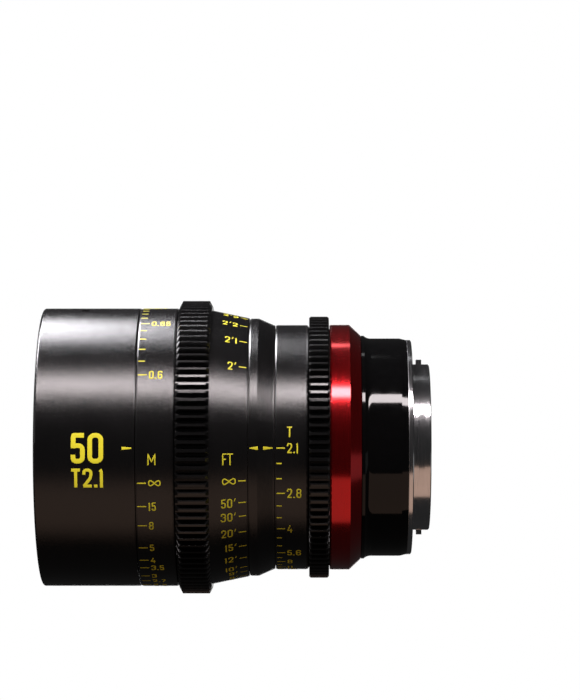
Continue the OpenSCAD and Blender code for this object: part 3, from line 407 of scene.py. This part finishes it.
FIGURES = {
    "0": (FIGURE_WIDTH, [(ROUND, True, [(0, 0), (1, 0), (1, 1), (0, 1)])]),
    "1": (FIGURE_WIDTH * 0.18, [(SHARP, False, [(-0.6, 0.88), (0.5, 1), (0.5, -0.1)])]),
    "2": (FIGURE_WIDTH, [(ROUND, False, [(0, 0.72), (0, 1), (1, 1), (1, 0.55), (0, 0)]),
                         (SHARP, False, [(-0.1, 0), (1.1, 0)])]),
    "3": (FIGURE_WIDTH, [(ROUND, False, [(0, 0.75), (0, 1), (1, 1), (1, 0.53), (0.35, 0.53)]),
                         (ROUND, False, [(0.35, 0.53), (1, 0.53), (1, 0), (0, 0), (0, 0.25)])]),
    "4": (FIGURE_WIDTH * 1.15, [(SOFT, False, [(0.55, 1), (0, 0.24), (1.05, 0.24)]),
                                (SHARP, False, [(0.74, 0.5), (0.74, -0.08)])]),
    "5": (FIGURE_WIDTH * 0.85, [(SHARP, False, [(1.15, 1), (0.02, 1), (0.02, 0.5)]),
                                (ROUND, False, [(0.02, 0.5), (0.02, 0.6), (1, 0.6), (1, 0), (0, 0),
                                                (0, 0.25)])]),
    "6": (FIGURE_WIDTH, [(ROUND, False, [(1, 0.78), (1, 1), (0, 1), (0, 0.4)]),
                         (ROUND, True, [(0, 0), (1, 0), (1, 0.56), (0, 0.56)])]),
    "7": (FIGURE_WIDTH, [(SOFT, False, [(-0.05, 1), (1, 1), (0.3, -0.08)])]),
    "8": (FIGURE_WIDTH, [(ROUND, True, [(0, 0), (1, 0), (1, 0.53), (0, 0.53)]),
                         (ROUND, True, [(0.03, 0.53), (0.97, 0.53), (0.97, 1), (0.03, 1)])]),
    "9": (FIGURE_WIDTH, [(ROUND, False, [(0, 0.22), (0, 0), (1, 0), (1, 0.6)]),
                         (ROUND, True, [(0, 0.44), (1, 0.44), (1, 1), (0, 1)])]),
    ".": (0.02, [(SHARP, False, [(-5, 0.0), (5, 0.0)])]),
    "'": (0.12, [(SHARP, False, [(1, 1.12), (0, 0.72)])]),
    "M": (0.66, [(SHARP, False, [(0, -0.06), (0, 1), (0.5, 0.25), (1, 1), (1, -0.06)])]),
    "F": (0.32, [(SHARP, False, [(0, -0.06), (0, 1), (1.1, 1)]),
                 (SHARP, False, [(0, 0.5), (0.95, 0.5)])]),
    "T": (FIGURE_WIDTH, [(SHARP, False, [(-0.12, 1), (1.12, 1)]),
                         (SHARP, False, [(0.5, 1), (0.5, -0.08)])]),
}
THIN_FIGURES = {"'": 0.7}
ENDLESS = "∞"
ENDLESS_WIDTH = 1.35
ENDLESS_HEIGHT = 0.68
ENDLESS_STEPS = 40


class Stroke:
    """A painted line: its points along the lens and round it, their widths, and whether it closes"""

    def __init__(self, points, widths, closed=False):
        self.points = points
        self.widths = widths
        self.closed = closed

    def moved(self, along, round_it):
        points = [(x + along, y + round_it) for x, y in self.points]
        return Stroke(points, self.widths, self.closed)


def rounded(points, corner, closed):
    """The points of a line whose corners are arcs of about the given radius."""
    made = []
    count = len(points)
    for i, point in enumerate(points):
        here = Vector(point)
        if not closed and i in (0, count - 1):
            made.append(here)
            continue
        before = Vector(points[i - 1]) - here
        after = Vector(points[(i + 1) % count]) - here
        reach = min(corner, before.length / 2, after.length / 2)
        if reach == 0:
            made.append(here)
            continue
        start = here + before.normalized() * reach
        end = here + after.normalized() * reach
        first = start.lerp(here, ARC_HANDLE)
        second = end.lerp(here, ARC_HANDLE)
        for step in range(CORNER_STEPS + 1):
            t = step / CORNER_STEPS
            u = 1 - t
            near = start * u ** 3 + first * (3 * u * u * t)
            far = second * (3 * u * t * t) + end * t ** 3
            made.append(near + far)
    return made


def stepped(points, closed):
    """The same line with no step longer than LONGEST_STEP, so that it can be bent round the lens."""
    ends = points + points[:1] if closed else points
    made = []
    for first, second in zip(ends, ends[1:]):
        parts = max(1, math.ceil((second - first).length / LONGEST_STEP))
        made += [first.lerp(second, part / parts) for part in range(parts)]
    return made if closed else made + [ends[-1]]


def line(points, width, corner=SHARP, closed=False):
    path = stepped(rounded(points, corner, closed), closed)
    return Stroke([tuple(point) for point in path], [width] * len(path), closed)


def wedge(start, end, thick, thin):
    """A straight mark along the lens that narrows from start to end."""
    path = stepped([Vector((start, 0.0)), Vector((end, 0.0))], False)
    last = len(path) - 1
    widths = [thick + (thin - thick) * i / last for i in range(last + 1)]
    return Stroke([tuple(point) for point in path], widths)


def endless(height, stroke):
    """The sign for infinity, and its width."""
    width = ENDLESS_WIDTH * height
    half = (width - stroke) / 2
    lift = (height * ENDLESS_HEIGHT - stroke) / 2
    path = []
    for i in range(ENDLESS_STEPS):
        angle = 2 * math.pi * i / ENDLESS_STEPS
        path.append((width / 2 + half * math.cos(angle), lift * math.sin(2 * angle)))
    return [Stroke(path, [stroke] * ENDLESS_STEPS, True)], width


def figures(text, height, stroke, gap):
    """Strokes of a line of figures, level with their middle, and the line's width."""
    inner = height - stroke
    made = []
    pen = 0.0
    for letter in text:
        share, strokes = FIGURES[letter]
        wide = share * inner
        thick = stroke * THIN_FIGURES.get(letter, 1)
        for corner, closed, points in strokes:
            path = [(pen + stroke / 2 + x * wide, (y - MIDDLE) * inner) for x, y in points]
            made.append(line(path, thick, corner * wide, closed))
        pen += wide + stroke + gap * height
    return made, pen - gap * height


def written(text, height, stroke, along, round_it, anchor, gap=WIDE_GAP):
    """Figures whose anchor, LEFT, MIDDLE or RIGHT, lies at a place on the lens."""
    if text == ENDLESS:
        strokes, width = endless(height, bpy.context.scene.lens_marks.sign_stroke)
    else:
        strokes, width = figures(text, height, stroke, gap)
    return [piece.moved(along - width * anchor, round_it) for piece in strokes]


# Modelling

# With a bevel of one half, a point's radius is the stroke's width there
PAINT_BEVEL = 0.5
PAINT_SIDES = 1
PAINT_SQUASH = 0.15
SMOOTH_ANGLE = math.radians(40)


def only(piece):
    """Selects one object and nothing else."""
    bpy.ops.object.select_all(action="DESELECT")
    piece.select_set(True)
    bpy.context.view_layer.objects.active = piece


def settle(piece, body, finish):
    """Finishes a piece: smooth faces, its material and the body it moves with."""
    only(piece)
    bpy.ops.object.shade_smooth_by_angle(angle=SMOOTH_ANGLE)
    piece.data.materials.clear()
    piece.data.materials.append(finish)
    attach(piece, body)


class Band:
    """A turned face that carries marks: its radius at both ends of a stretch along the lens"""

    def __init__(self, node, front_radius=None, rear_radius=None):
        low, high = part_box(node)
        self.start = low.x
        self.end = high.x
        self.front = front_radius or (high.z - low.z) / 2
        self.rear = rear_radius or self.front

    def radius(self, along):
        share = (along - self.start) / (self.end - self.start)
        return self.front + (self.rear - self.front) * share

    def reach(self, angle):
        """How far round the face an angle in degrees lies, where the face is widest."""
        return math.radians(angle) * self.front

    def bend(self, along, reach, rise):
        """The point at a place on the face, which starts at the side that faces the camera."""
        angle = reach / self.front
        radius = self.radius(along) + rise
        return (along, -radius * math.cos(angle), radius * math.sin(angle))

    def tick(self, angle, start, end, width):
        """A straight mark along the lens at an angle round it, in degrees."""
        return line([(start, self.reach(angle)), (end, self.reach(angle))], width)


def paint_marks(name, strokes, band, body):
    """Makes strokes a thin raised mesh and bends it round a band of the lens."""
    curve = bpy.data.curves.new(name, "CURVE")
    curve.dimensions = "3D"
    curve.twist_mode = "Z_UP"
    curve.bevel_depth = PAINT_BEVEL
    curve.bevel_resolution = PAINT_SIDES
    curve.use_fill_caps = True
    for stroke in strokes:
        spline = curve.splines.new("POLY")
        spline.points.add(len(stroke.points) - 1)
        spline.use_cyclic_u = stroke.closed
        for point, (x, y), width in zip(spline.points, stroke.points, stroke.widths):
            point.co = (x, y, 0, 1)
            point.radius = width
    marks = bpy.data.objects.new(name, curve)
    bpy.context.collection.objects.link(marks)
    only(marks)
    bpy.ops.object.convert(target="MESH")
    marks = bpy.context.object
    height = bpy.context.scene.lens_marks.paint_height
    for vertex in marks.data.vertices:
        x, y, z = vertex.co
        vertex.co = band.bend(x, y, max(-height, min(height, z * PAINT_SQUASH)))
    marks.data.update()
    settle(marks, body, bpy.data.materials["scale_paint"])


# Scales

INDEX_ANGLE = -0.5
FAR_ANGLE = 14.0
FOCUS_SWEEP = 147.0
FOCUS_OFFSET = 0.134
FOOT = 0.3048
INCHES = 12

METRE_FIGURES = (15, 8, 5, 4, 3.5, 3, 2.7, 2.4, 2.2, 2, 1.8, 1.7, 1.6, 1.5, 1.4, 1.3, 1.2, 1.1, 1,
                 0.95, 0.9, 0.85, 0.8, 0.75, 0.7, 0.65, 0.6)
FEET_FIGURES = ("50'", "30'", "20'", "15'", "12'", "10'", "9'", "8'", "7'", "6'6", "6'", "5'6", "5'",
                "4'9", "4'6", "4'3", "4'", "3'9", "3'6", "3'4", "3'2", "3'", "2'10", "2'9", "2'8",
                "2'7", "2'6", "2'5", "2'4", "2'3", "2'2", "2'1", "2'")
STOP_ANGLES = {"2.1": 0, "2.8": 21, "4": 40, "5.6": 57.5, "8": 67, "11": 76, "16": 83, "22": 89}


def focus_angle(metres):
    """Angle above the index mark of a focus distance on the turning ring, in degrees."""
    return INDEX_ANGLE - FAR_ANGLE - FOCUS_SWEEP / (metres - FOCUS_OFFSET)


def feet_in_metres(text):
    feet, inches = text.split("'")
    return (int(feet) + int(inches or 0) / INCHES) * FOOT


def between(first, last, count):
    """Values evenly between two others, without them."""
    return [first + (last - first) * i / count for i in range(1, count)]


class LensPiece:
    """What every operator of this file shares"""

    bl_options = {"REGISTER", "UNDO"}


class LENS_OT_finishes(LensPiece, bpy.types.Operator):
    """Gives every solid the finish of its slot"""

    bl_idname = "lens.finishes"
    bl_label = "Finishes"

    def execute(self, context):
        finishes = make_finishes()
        for part in frame["record"]["subparts"]:
            for slot in frame["nodes"][part["node"]].material_slots:
                slot.material = finishes[part["material_slot"]]
        return {"FINISHED"}


class LENS_OT_filter_thread(LensPiece, bpy.types.Operator):
    """Winds the filter thread's ridge inside the front barrel's mouth"""

    bl_idname = "lens.filter_thread"
    bl_label = "Filter thread"

    BORE = 41.0 * MM
    PITCH = 0.75 * MM
    RIDGE = 0.4 * MM
    INSET = 0.9 * MM
    TURNS = 6
    STEPS = 128
    SIDES = 3

    def execute(self, context):
        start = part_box("front_barrel")[0].x + self.INSET
        bpy.ops.object.select_all(action="DESELECT")
        bpy.ops.mesh.primitive_circle_add(
            vertices=self.SIDES, radius=1, location=(start, 0, self.BORE),
            rotation=(-math.pi / 2, 0, 0))
        ridge = bpy.context.object
        ridge.name = "filter_thread"
        ridge.scale = (self.PITCH / 2, self.RIDGE, 1)
        bpy.ops.object.transform_apply(location=True, rotation=True, scale=True)
        screw = ridge.modifiers.new("wind", "SCREW")
        screw.axis = "X"
        screw.screw_offset = self.PITCH
        screw.iterations = self.TURNS
        screw.steps = self.STEPS
        screw.render_steps = self.STEPS
        bpy.ops.object.modifier_apply(modifier=screw.name)
        bpy.ops.object.mode_set(mode="EDIT")
        bpy.ops.mesh.select_all(action="SELECT")
        bpy.ops.mesh.fill_holes(sides=self.SIDES)
        bpy.ops.mesh.select_all(action="SELECT")
        bpy.ops.mesh.normals_make_consistent(inside=False)
        bpy.ops.object.mode_set(mode="OBJECT")
        settle(ridge, "barrel", bpy.data.materials["satin_black"])
        return {"FINISHED"}


class LENS_OT_front_marks(LensPiece, bpy.types.Operator):
    """Paints the focal length, the widest T-stop and the focus index on the front barrel"""

    bl_idname = "lens.front_marks"
    bl_label = "Front marks"

    NUMBER_X = -96.15 * MM
    SPEED_DROP = 11.9
    INDEX_START = -86.0 * MM
    INDEX_END = -83.15 * MM
    INDEX_THICK = 0.92 * MM
    INDEX_THIN = 0.35 * MM

    def execute(self, context):
        marks = context.scene.lens_marks
        band = Band("front_barrel")
        centre = band.reach(INDEX_ANGLE)
        below = band.reach(INDEX_ANGLE - self.SPEED_DROP)
        strokes = written("50", marks.number_height, marks.number_stroke,
                          self.NUMBER_X, centre, MIDDLE, CLOSE_GAP)
        strokes += written("T2.1", marks.speed_height, marks.speed_stroke,
                           self.NUMBER_X, below, MIDDLE, CLOSE_GAP)
        index = wedge(self.INDEX_START, self.INDEX_END, self.INDEX_THICK, self.INDEX_THIN)
        strokes.append(index.moved(0, centre))
        paint_marks("front_marks", strokes, band, "barrel")
        return {"FINISHED"}


class LENS_OT_metre_scale(LensPiece, bpy.types.Operator):
    """Paints the focus scale in metres on the ring in front of the focus gear"""

    bl_idname = "lens.metre_scale"
    bl_label = "Metre scale"

    TICK_INSET = 0.47 * MM
    TICK_LENGTH = 2.65 * MM
    MINOR_LENGTH = 1.9 * MM
    FIGURE_X = -78.3 * MM
    SIGN_X = -77.25 * MM
    SIGN_HEIGHT = 3.4 * MM
    SIGN_DROP = 4.4
    FINE_FROM = 1
    FINE_PARTS = 5

    def execute(self, context):
        marks = context.scene.lens_marks
        band = Band("metre_ring")
        start = band.start + self.TICK_INSET
        places = [(ENDLESS, INDEX_ANGLE - FAR_ANGLE)]
        places += [(f"{metres:g}", focus_angle(metres)) for metres in METRE_FIGURES]
        strokes = []
        for text, angle in places:
            strokes.append(band.tick(angle, start, start + self.TICK_LENGTH, marks.tick_stroke))
            strokes += written(text, marks.metre_height, marks.figure_stroke,
                               self.FIGURE_X, band.reach(angle), LEFT)
        for first, last in zip(METRE_FIGURES, METRE_FIGURES[1:]):
            parts = self.FINE_PARTS if first <= self.FINE_FROM else 1
            for metres in between(first, last, parts):
                angle = focus_angle(metres)
                strokes.append(band.tick(angle, start, start + self.MINOR_LENGTH, marks.tick_stroke))
        strokes += written("M", self.SIGN_HEIGHT, marks.sign_stroke,
                           self.SIGN_X, band.reach(INDEX_ANGLE - self.SIGN_DROP), MIDDLE)
        paint_marks("metre_scale", strokes, band, "focus")
        return {"FINISHED"}


class LENS_OT_feet_scale(LensPiece, bpy.types.Operator):
    """Paints the focus scale in feet on the cone behind the focus gear"""

    bl_idname = "lens.feet_scale"
    bl_label = "Feet scale"

    TICK_INSET = 0.45 * MM
    TICK_LENGTH = 2.2 * MM
    FIGURE_X = -52.6 * MM
    SIGN_X = -55.0 * MM
    SIGN_HEIGHT = 3.5 * MM
    SIGN_DROP = 4.6
    SIGN_GAP = 0.02
    FRONT_RADIUS = 41.9 * MM
    REAR_RADIUS = 39.5 * MM

    def execute(self, context):
        marks = context.scene.lens_marks
        band = Band("feet_ring", self.FRONT_RADIUS, self.REAR_RADIUS)
        end = band.end - self.TICK_INSET
        places = [(ENDLESS, INDEX_ANGLE - FAR_ANGLE)]
        places += [(text, focus_angle(feet_in_metres(text))) for text in FEET_FIGURES]
        strokes = []
        for text, angle in places:
            strokes.append(band.tick(angle, end - self.TICK_LENGTH, end, marks.tick_stroke))
            strokes += written(text, marks.feet_height, marks.figure_stroke,
                               self.FIGURE_X, band.reach(angle), RIGHT)
        strokes += written("FT", self.SIGN_HEIGHT, marks.sign_stroke,
                           self.SIGN_X, band.reach(INDEX_ANGLE - self.SIGN_DROP), MIDDLE, self.SIGN_GAP)
        paint_marks("feet_scale", strokes, band, "focus")
        return {"FINISHED"}


class LENS_OT_stop_scale(LensPiece, bpy.types.Operator):
    """Paints the T-stop scale on the iris ring"""

    bl_idname = "lens.stop_scale"
    bl_label = "T-stop scale"

    TICK_INSET = 0.46 * MM
    TICK_LENGTH = 2.5 * MM
    MINOR_LENGTH = 1.55 * MM
    FIGURE_X = -37.6 * MM
    SIGN_HEIGHT = 3.1 * MM
    SIGN_RISE = 7.4
    THIRDS = 3
    HALVES = 2
    FINE_STOPS = ("2.1", "2.8", "4")

    def execute(self, context):
        marks = context.scene.lens_marks
        band = Band("iris_scale_ring")
        start = band.start + self.TICK_INSET
        stops = list(STOP_ANGLES.items())
        strokes = []
        for text, drop in stops:
            angle = INDEX_ANGLE - drop
            strokes.append(band.tick(angle, start, start + self.TICK_LENGTH, marks.tick_stroke))
            strokes += written(text, marks.stop_height, marks.figure_stroke,
                               self.FIGURE_X, band.reach(angle), LEFT)
        for (text, drop), (_, next_drop) in zip(stops, stops[1:]):
            parts = self.THIRDS if text in self.FINE_STOPS else self.HALVES
            for share in between(drop, next_drop, parts):
                angle = INDEX_ANGLE - share
                strokes.append(band.tick(angle, start, start + self.MINOR_LENGTH, marks.tick_stroke))
        strokes += written("T", self.SIGN_HEIGHT, marks.figure_stroke,
                           self.FIGURE_X, band.reach(INDEX_ANGLE + self.SIGN_RISE), LEFT)
        paint_marks("stop_scale", strokes, band, "iris_ring")
        return {"FINISHED"}


class LENS_OT_index_marks(LensPiece, bpy.types.Operator):
    """Paints the two pointers between the feet scale and the T-stop scale"""

    bl_idname = "lens.index_marks"
    bl_label = "Index marks"

    TIP_FRONT = -48.6 * MM
    BACK_FRONT = -46.1 * MM
    BACK_REAR = -44.6 * MM
    TIP_REAR = -41.8 * MM
    THICK = 1.05 * MM
    THIN = 0.3 * MM
    BAND_LENGTH = 2.6 * MM
    BAND_RADIUS = 39.4 * MM
    REAR_RADIUS = 37.2 * MM

    def execute(self, context):
        straight = Band("index_ring", self.BAND_RADIUS, self.BAND_RADIUS)
        sloped = Band("index_ring", self.BAND_RADIUS, self.REAR_RADIUS)
        sloped.start += self.BAND_LENGTH
        front = wedge(self.BACK_FRONT, self.TIP_FRONT, self.THICK, self.THIN)
        rear = wedge(self.BACK_REAR, self.TIP_REAR, self.THICK, self.THIN)
        front = front.moved(0, straight.reach(INDEX_ANGLE))
        rear = rear.moved(0, sloped.reach(INDEX_ANGLE))
        paint_marks("focus_pointer", [front], straight, "barrel")
        paint_marks("stop_pointer", [rear], sloped, "barrel")
        return {"FINISHED"}


class LENS_OT_stage(LensPiece, bpy.types.Operator):
    """Sets up the floor, the lights, the white surround and the camera"""

    bl_idname = "lens.stage"
    bl_label = "Stage"

    IMAGE_HIGH = 700.0
    FOCAL_PIXELS = 3013.0
    AIM = (-20.0, FOCAL_PIXELS, 97.0)
    SENSOR = 36.0
    FLOOR_WIDE = 2.4
    FLOOR_DEEP = 2.4
    FLOOR_BACK = 0.3
    FLOOR_CLEAR = 0.3
    FLOOR_WHITE = 0.7
    FLOOR_GRAIN = 0.06
    AMBIENT = 0.022
    WHITE_CONE = 0.985
    KEY = {"elevation": 51.5, "along": 0.05, "length": 1.8, "depth": 0.2, "distance": 1.2}
    TOP = {"elevation": 112, "along": -0.71, "length": 1.0, "depth": 0.62, "distance": 1.2}
    FILL = {"elevation": 109, "along": -0.055, "length": 0.12, "depth": 0.1, "distance": 1.2}
    BOUNCE = {"elevation": -48, "along": -0.05, "length": 0.44, "depth": 0.2, "distance": 0.25}
    KEY_TINT = (1.0, 0.91, 0.92)
    TOP_TINT = (0.98, 0.955, 1.0)
    WARM = (1.0, 0.66, 0.5)
    END_X = 0.85
    END_Y = -0.1
    FRONT_Z = 0.22
    FRONT_SIZE = (1.0, 0.94)
    REAR_Z = -0.16
    REAR_SIZE = (1.0, 0.2)

    def execute(self, context):
        studio = context.scene.lens_studio
        self.camera(context, studio)
        self.floor(studio)
        self.surround(context)
        self.strip("key_light", self.KEY, studio.key_level, self.KEY_TINT)
        self.strip("top_light", self.TOP, studio.top_level, self.TOP_TINT)
        self.strip("fill_light", self.FILL, studio.fill_level, WHITE)
        self.strip("bounce_light", self.BOUNCE, studio.bounce_level, self.WARM)
        front = Vector((-self.END_X, self.END_Y, self.FRONT_Z))
        self.lamp("front_light", front, Vector(), self.FRONT_SIZE, studio.front_level, WHITE)
        rear = Vector((self.END_X, self.END_Y, self.REAR_Z))
        self.lamp("rear_light", rear, Vector(), self.REAR_SIZE, studio.rear_level, WHITE)
        context.scene.view_settings.view_transform = "Standard"
        return {"FINISHED"}

    def camera(self, context, studio):
        """A camera beside the lens, turned to a point that is given in pixels from the lens's axis."""
        data = bpy.data.cameras.new("camera")
        data.sensor_width = self.SENSOR
        data.lens = self.FOCAL_PIXELS * self.SENSOR / self.IMAGE_HIGH
        camera = bpy.data.objects.new("camera", data)
        camera.location = (studio.camera_along, -studio.camera_distance, 0)
        camera.rotation_euler = Vector(self.AIM).to_track_quat("-Z", "Y").to_euler()
        context.collection.objects.link(camera)
        context.scene.camera = camera

    def floor(self, studio):
        """A pale floor that fades to white away from the lens."""
        bpy.ops.object.select_all(action="DESELECT")
        bpy.ops.mesh.primitive_plane_add(size=1, location=(0, self.FLOOR_BACK, -studio.floor_depth))
        floor = bpy.context.object
        floor.name = "floor"
        floor.scale = (self.FLOOR_WIDE, self.FLOOR_DEEP, 1)
        bpy.ops.object.transform_apply(location=True, rotation=True, scale=True)
        finish = Finish("floor", {"Roughness": 0.9, "Specular IOR Level": 0, "Emission Strength": 1})
        mottle = finish.noise(self.FLOOR_GRAIN, detail=3.0)
        near = finish.tone(mottle, studio.floor_colour, dark=0.96, light=1.0)
        place = finish.place()
        reach = finish.node("ShaderNodeVectorMath", {"operation": "LENGTH"}, {0: place}, output="Value")
        edge = finish.span(reach, self.FLOOR_CLEAR, self.FLOOR_WHITE, 0, 1)
        floor.data.materials.append(finish.wear({
            "Base Color": finish.blend(edge, near, BLACK),
            "Emission Color": finish.blend(edge, BLACK, WHITE)}))
        floor.visible_glossy = False
        floor.visible_diffuse = False

    def surround(self, context):
        """White for the camera and straight behind the lens, and nearly dark elsewhere."""
        world = bpy.data.worlds.new("surround")
        world.use_nodes = True
        net = Net(world.node_tree)
        direction = net.node("ShaderNodeTexCoord", output="Generated")
        back = net.node("ShaderNodeSeparateXYZ", None, {0: direction}, output="Y")
        behind = back.combine("GREATER_THAN", back, self.WHITE_CONE)
        glossy = net.node("ShaderNodeLightPath", output="Is Glossy Ray")
        passed = net.node("ShaderNodeLightPath", output="Is Transmission Ray")
        direct = net.node("ShaderNodeLightPath", output="Is Camera Ray")
        seen = direct.combine("MAXIMUM", direct, behind.combine("MAXIMUM", glossy, passed) * behind)
        white = (*WHITE, 1)
        dim = net.node("ShaderNodeBackground", None, {"Color": white, "Strength": self.AMBIENT})
        bright = net.node("ShaderNodeBackground", None, {"Color": white, "Strength": 1})
        mix = net.node("ShaderNodeMixShader", None, {0: seen, 1: dim, 2: bright})
        net.feed(net.tree.nodes["World Output"], {"Surface": mix})
        context.scene.world = world

    def strip(self, name, span, level, colour):
        """A light along the lens, at an elevation in degrees seen from the lens's axis."""
        axis = Vector((span["along"], 0, 0))
        elevation = math.radians(span["elevation"])
        away = Vector((0, -math.cos(elevation), math.sin(elevation)))
        size = (span["length"], span["depth"])
        self.lamp(name, axis + away * span["distance"], axis, size, level, colour)

    def lamp(self, name, place, target, size, level, colour):
        """An even light, of a width and a height, that faces a target."""
        data = bpy.data.lights.new(name, "AREA")
        data.shape = "RECTANGLE"
        data.size, data.size_y = size
        data.energy = level * math.pi * data.size * data.size_y
        data.color = colour
        light = bpy.data.objects.new(name, data)
        light.location = place
        light.rotation_euler = (target - place).to_track_quat("-Z", "Y").to_euler()
        light.visible_camera = False
        bpy.context.collection.objects.link(light)


PIECES = (LENS_OT_stage, LENS_OT_finishes, LENS_OT_filter_thread, LENS_OT_front_marks,
          LENS_OT_metre_scale, LENS_OT_feet_scale, LENS_OT_stop_scale, LENS_OT_index_marks)


class LENS_PT_pieces(bpy.types.Panel):
    """Lists the operators of the lens"""

    bl_idname = "LENS_PT_pieces"
    bl_label = "Cinema prime lens"
    bl_space_type = "VIEW_3D"
    bl_region_type = "UI"
    bl_category = "Lens"

    def draw(self, context):
        for piece in PIECES:
            self.layout.operator(piece.bl_idname)


CLASSES = (LensColours, LensMarks, LensStudio, *PIECES, LENS_PT_pieces)


def register():
    for kind in CLASSES:
        bpy.utils.register_class(kind)
    bpy.types.Scene.lens_colours = bpy.props.PointerProperty(type=LensColours)
    bpy.types.Scene.lens_marks = bpy.props.PointerProperty(type=LensMarks)
    bpy.types.Scene.lens_studio = bpy.props.PointerProperty(type=LensStudio)


def unregister():
    del bpy.types.Scene.lens_studio
    del bpy.types.Scene.lens_marks
    del bpy.types.Scene.lens_colours
    for kind in reversed(CLASSES):
        bpy.utils.unregister_class(kind)


def main():
    register()
    bpy.ops.lens.stage()
    bpy.ops.lens.finishes()
    bpy.ops.lens.filter_thread()
    bpy.ops.lens.front_marks()
    bpy.ops.lens.metre_scale()
    bpy.ops.lens.feet_scale()
    bpy.ops.lens.stop_scale()
    bpy.ops.lens.index_marks()


if __name__ == "__main__":
    main()
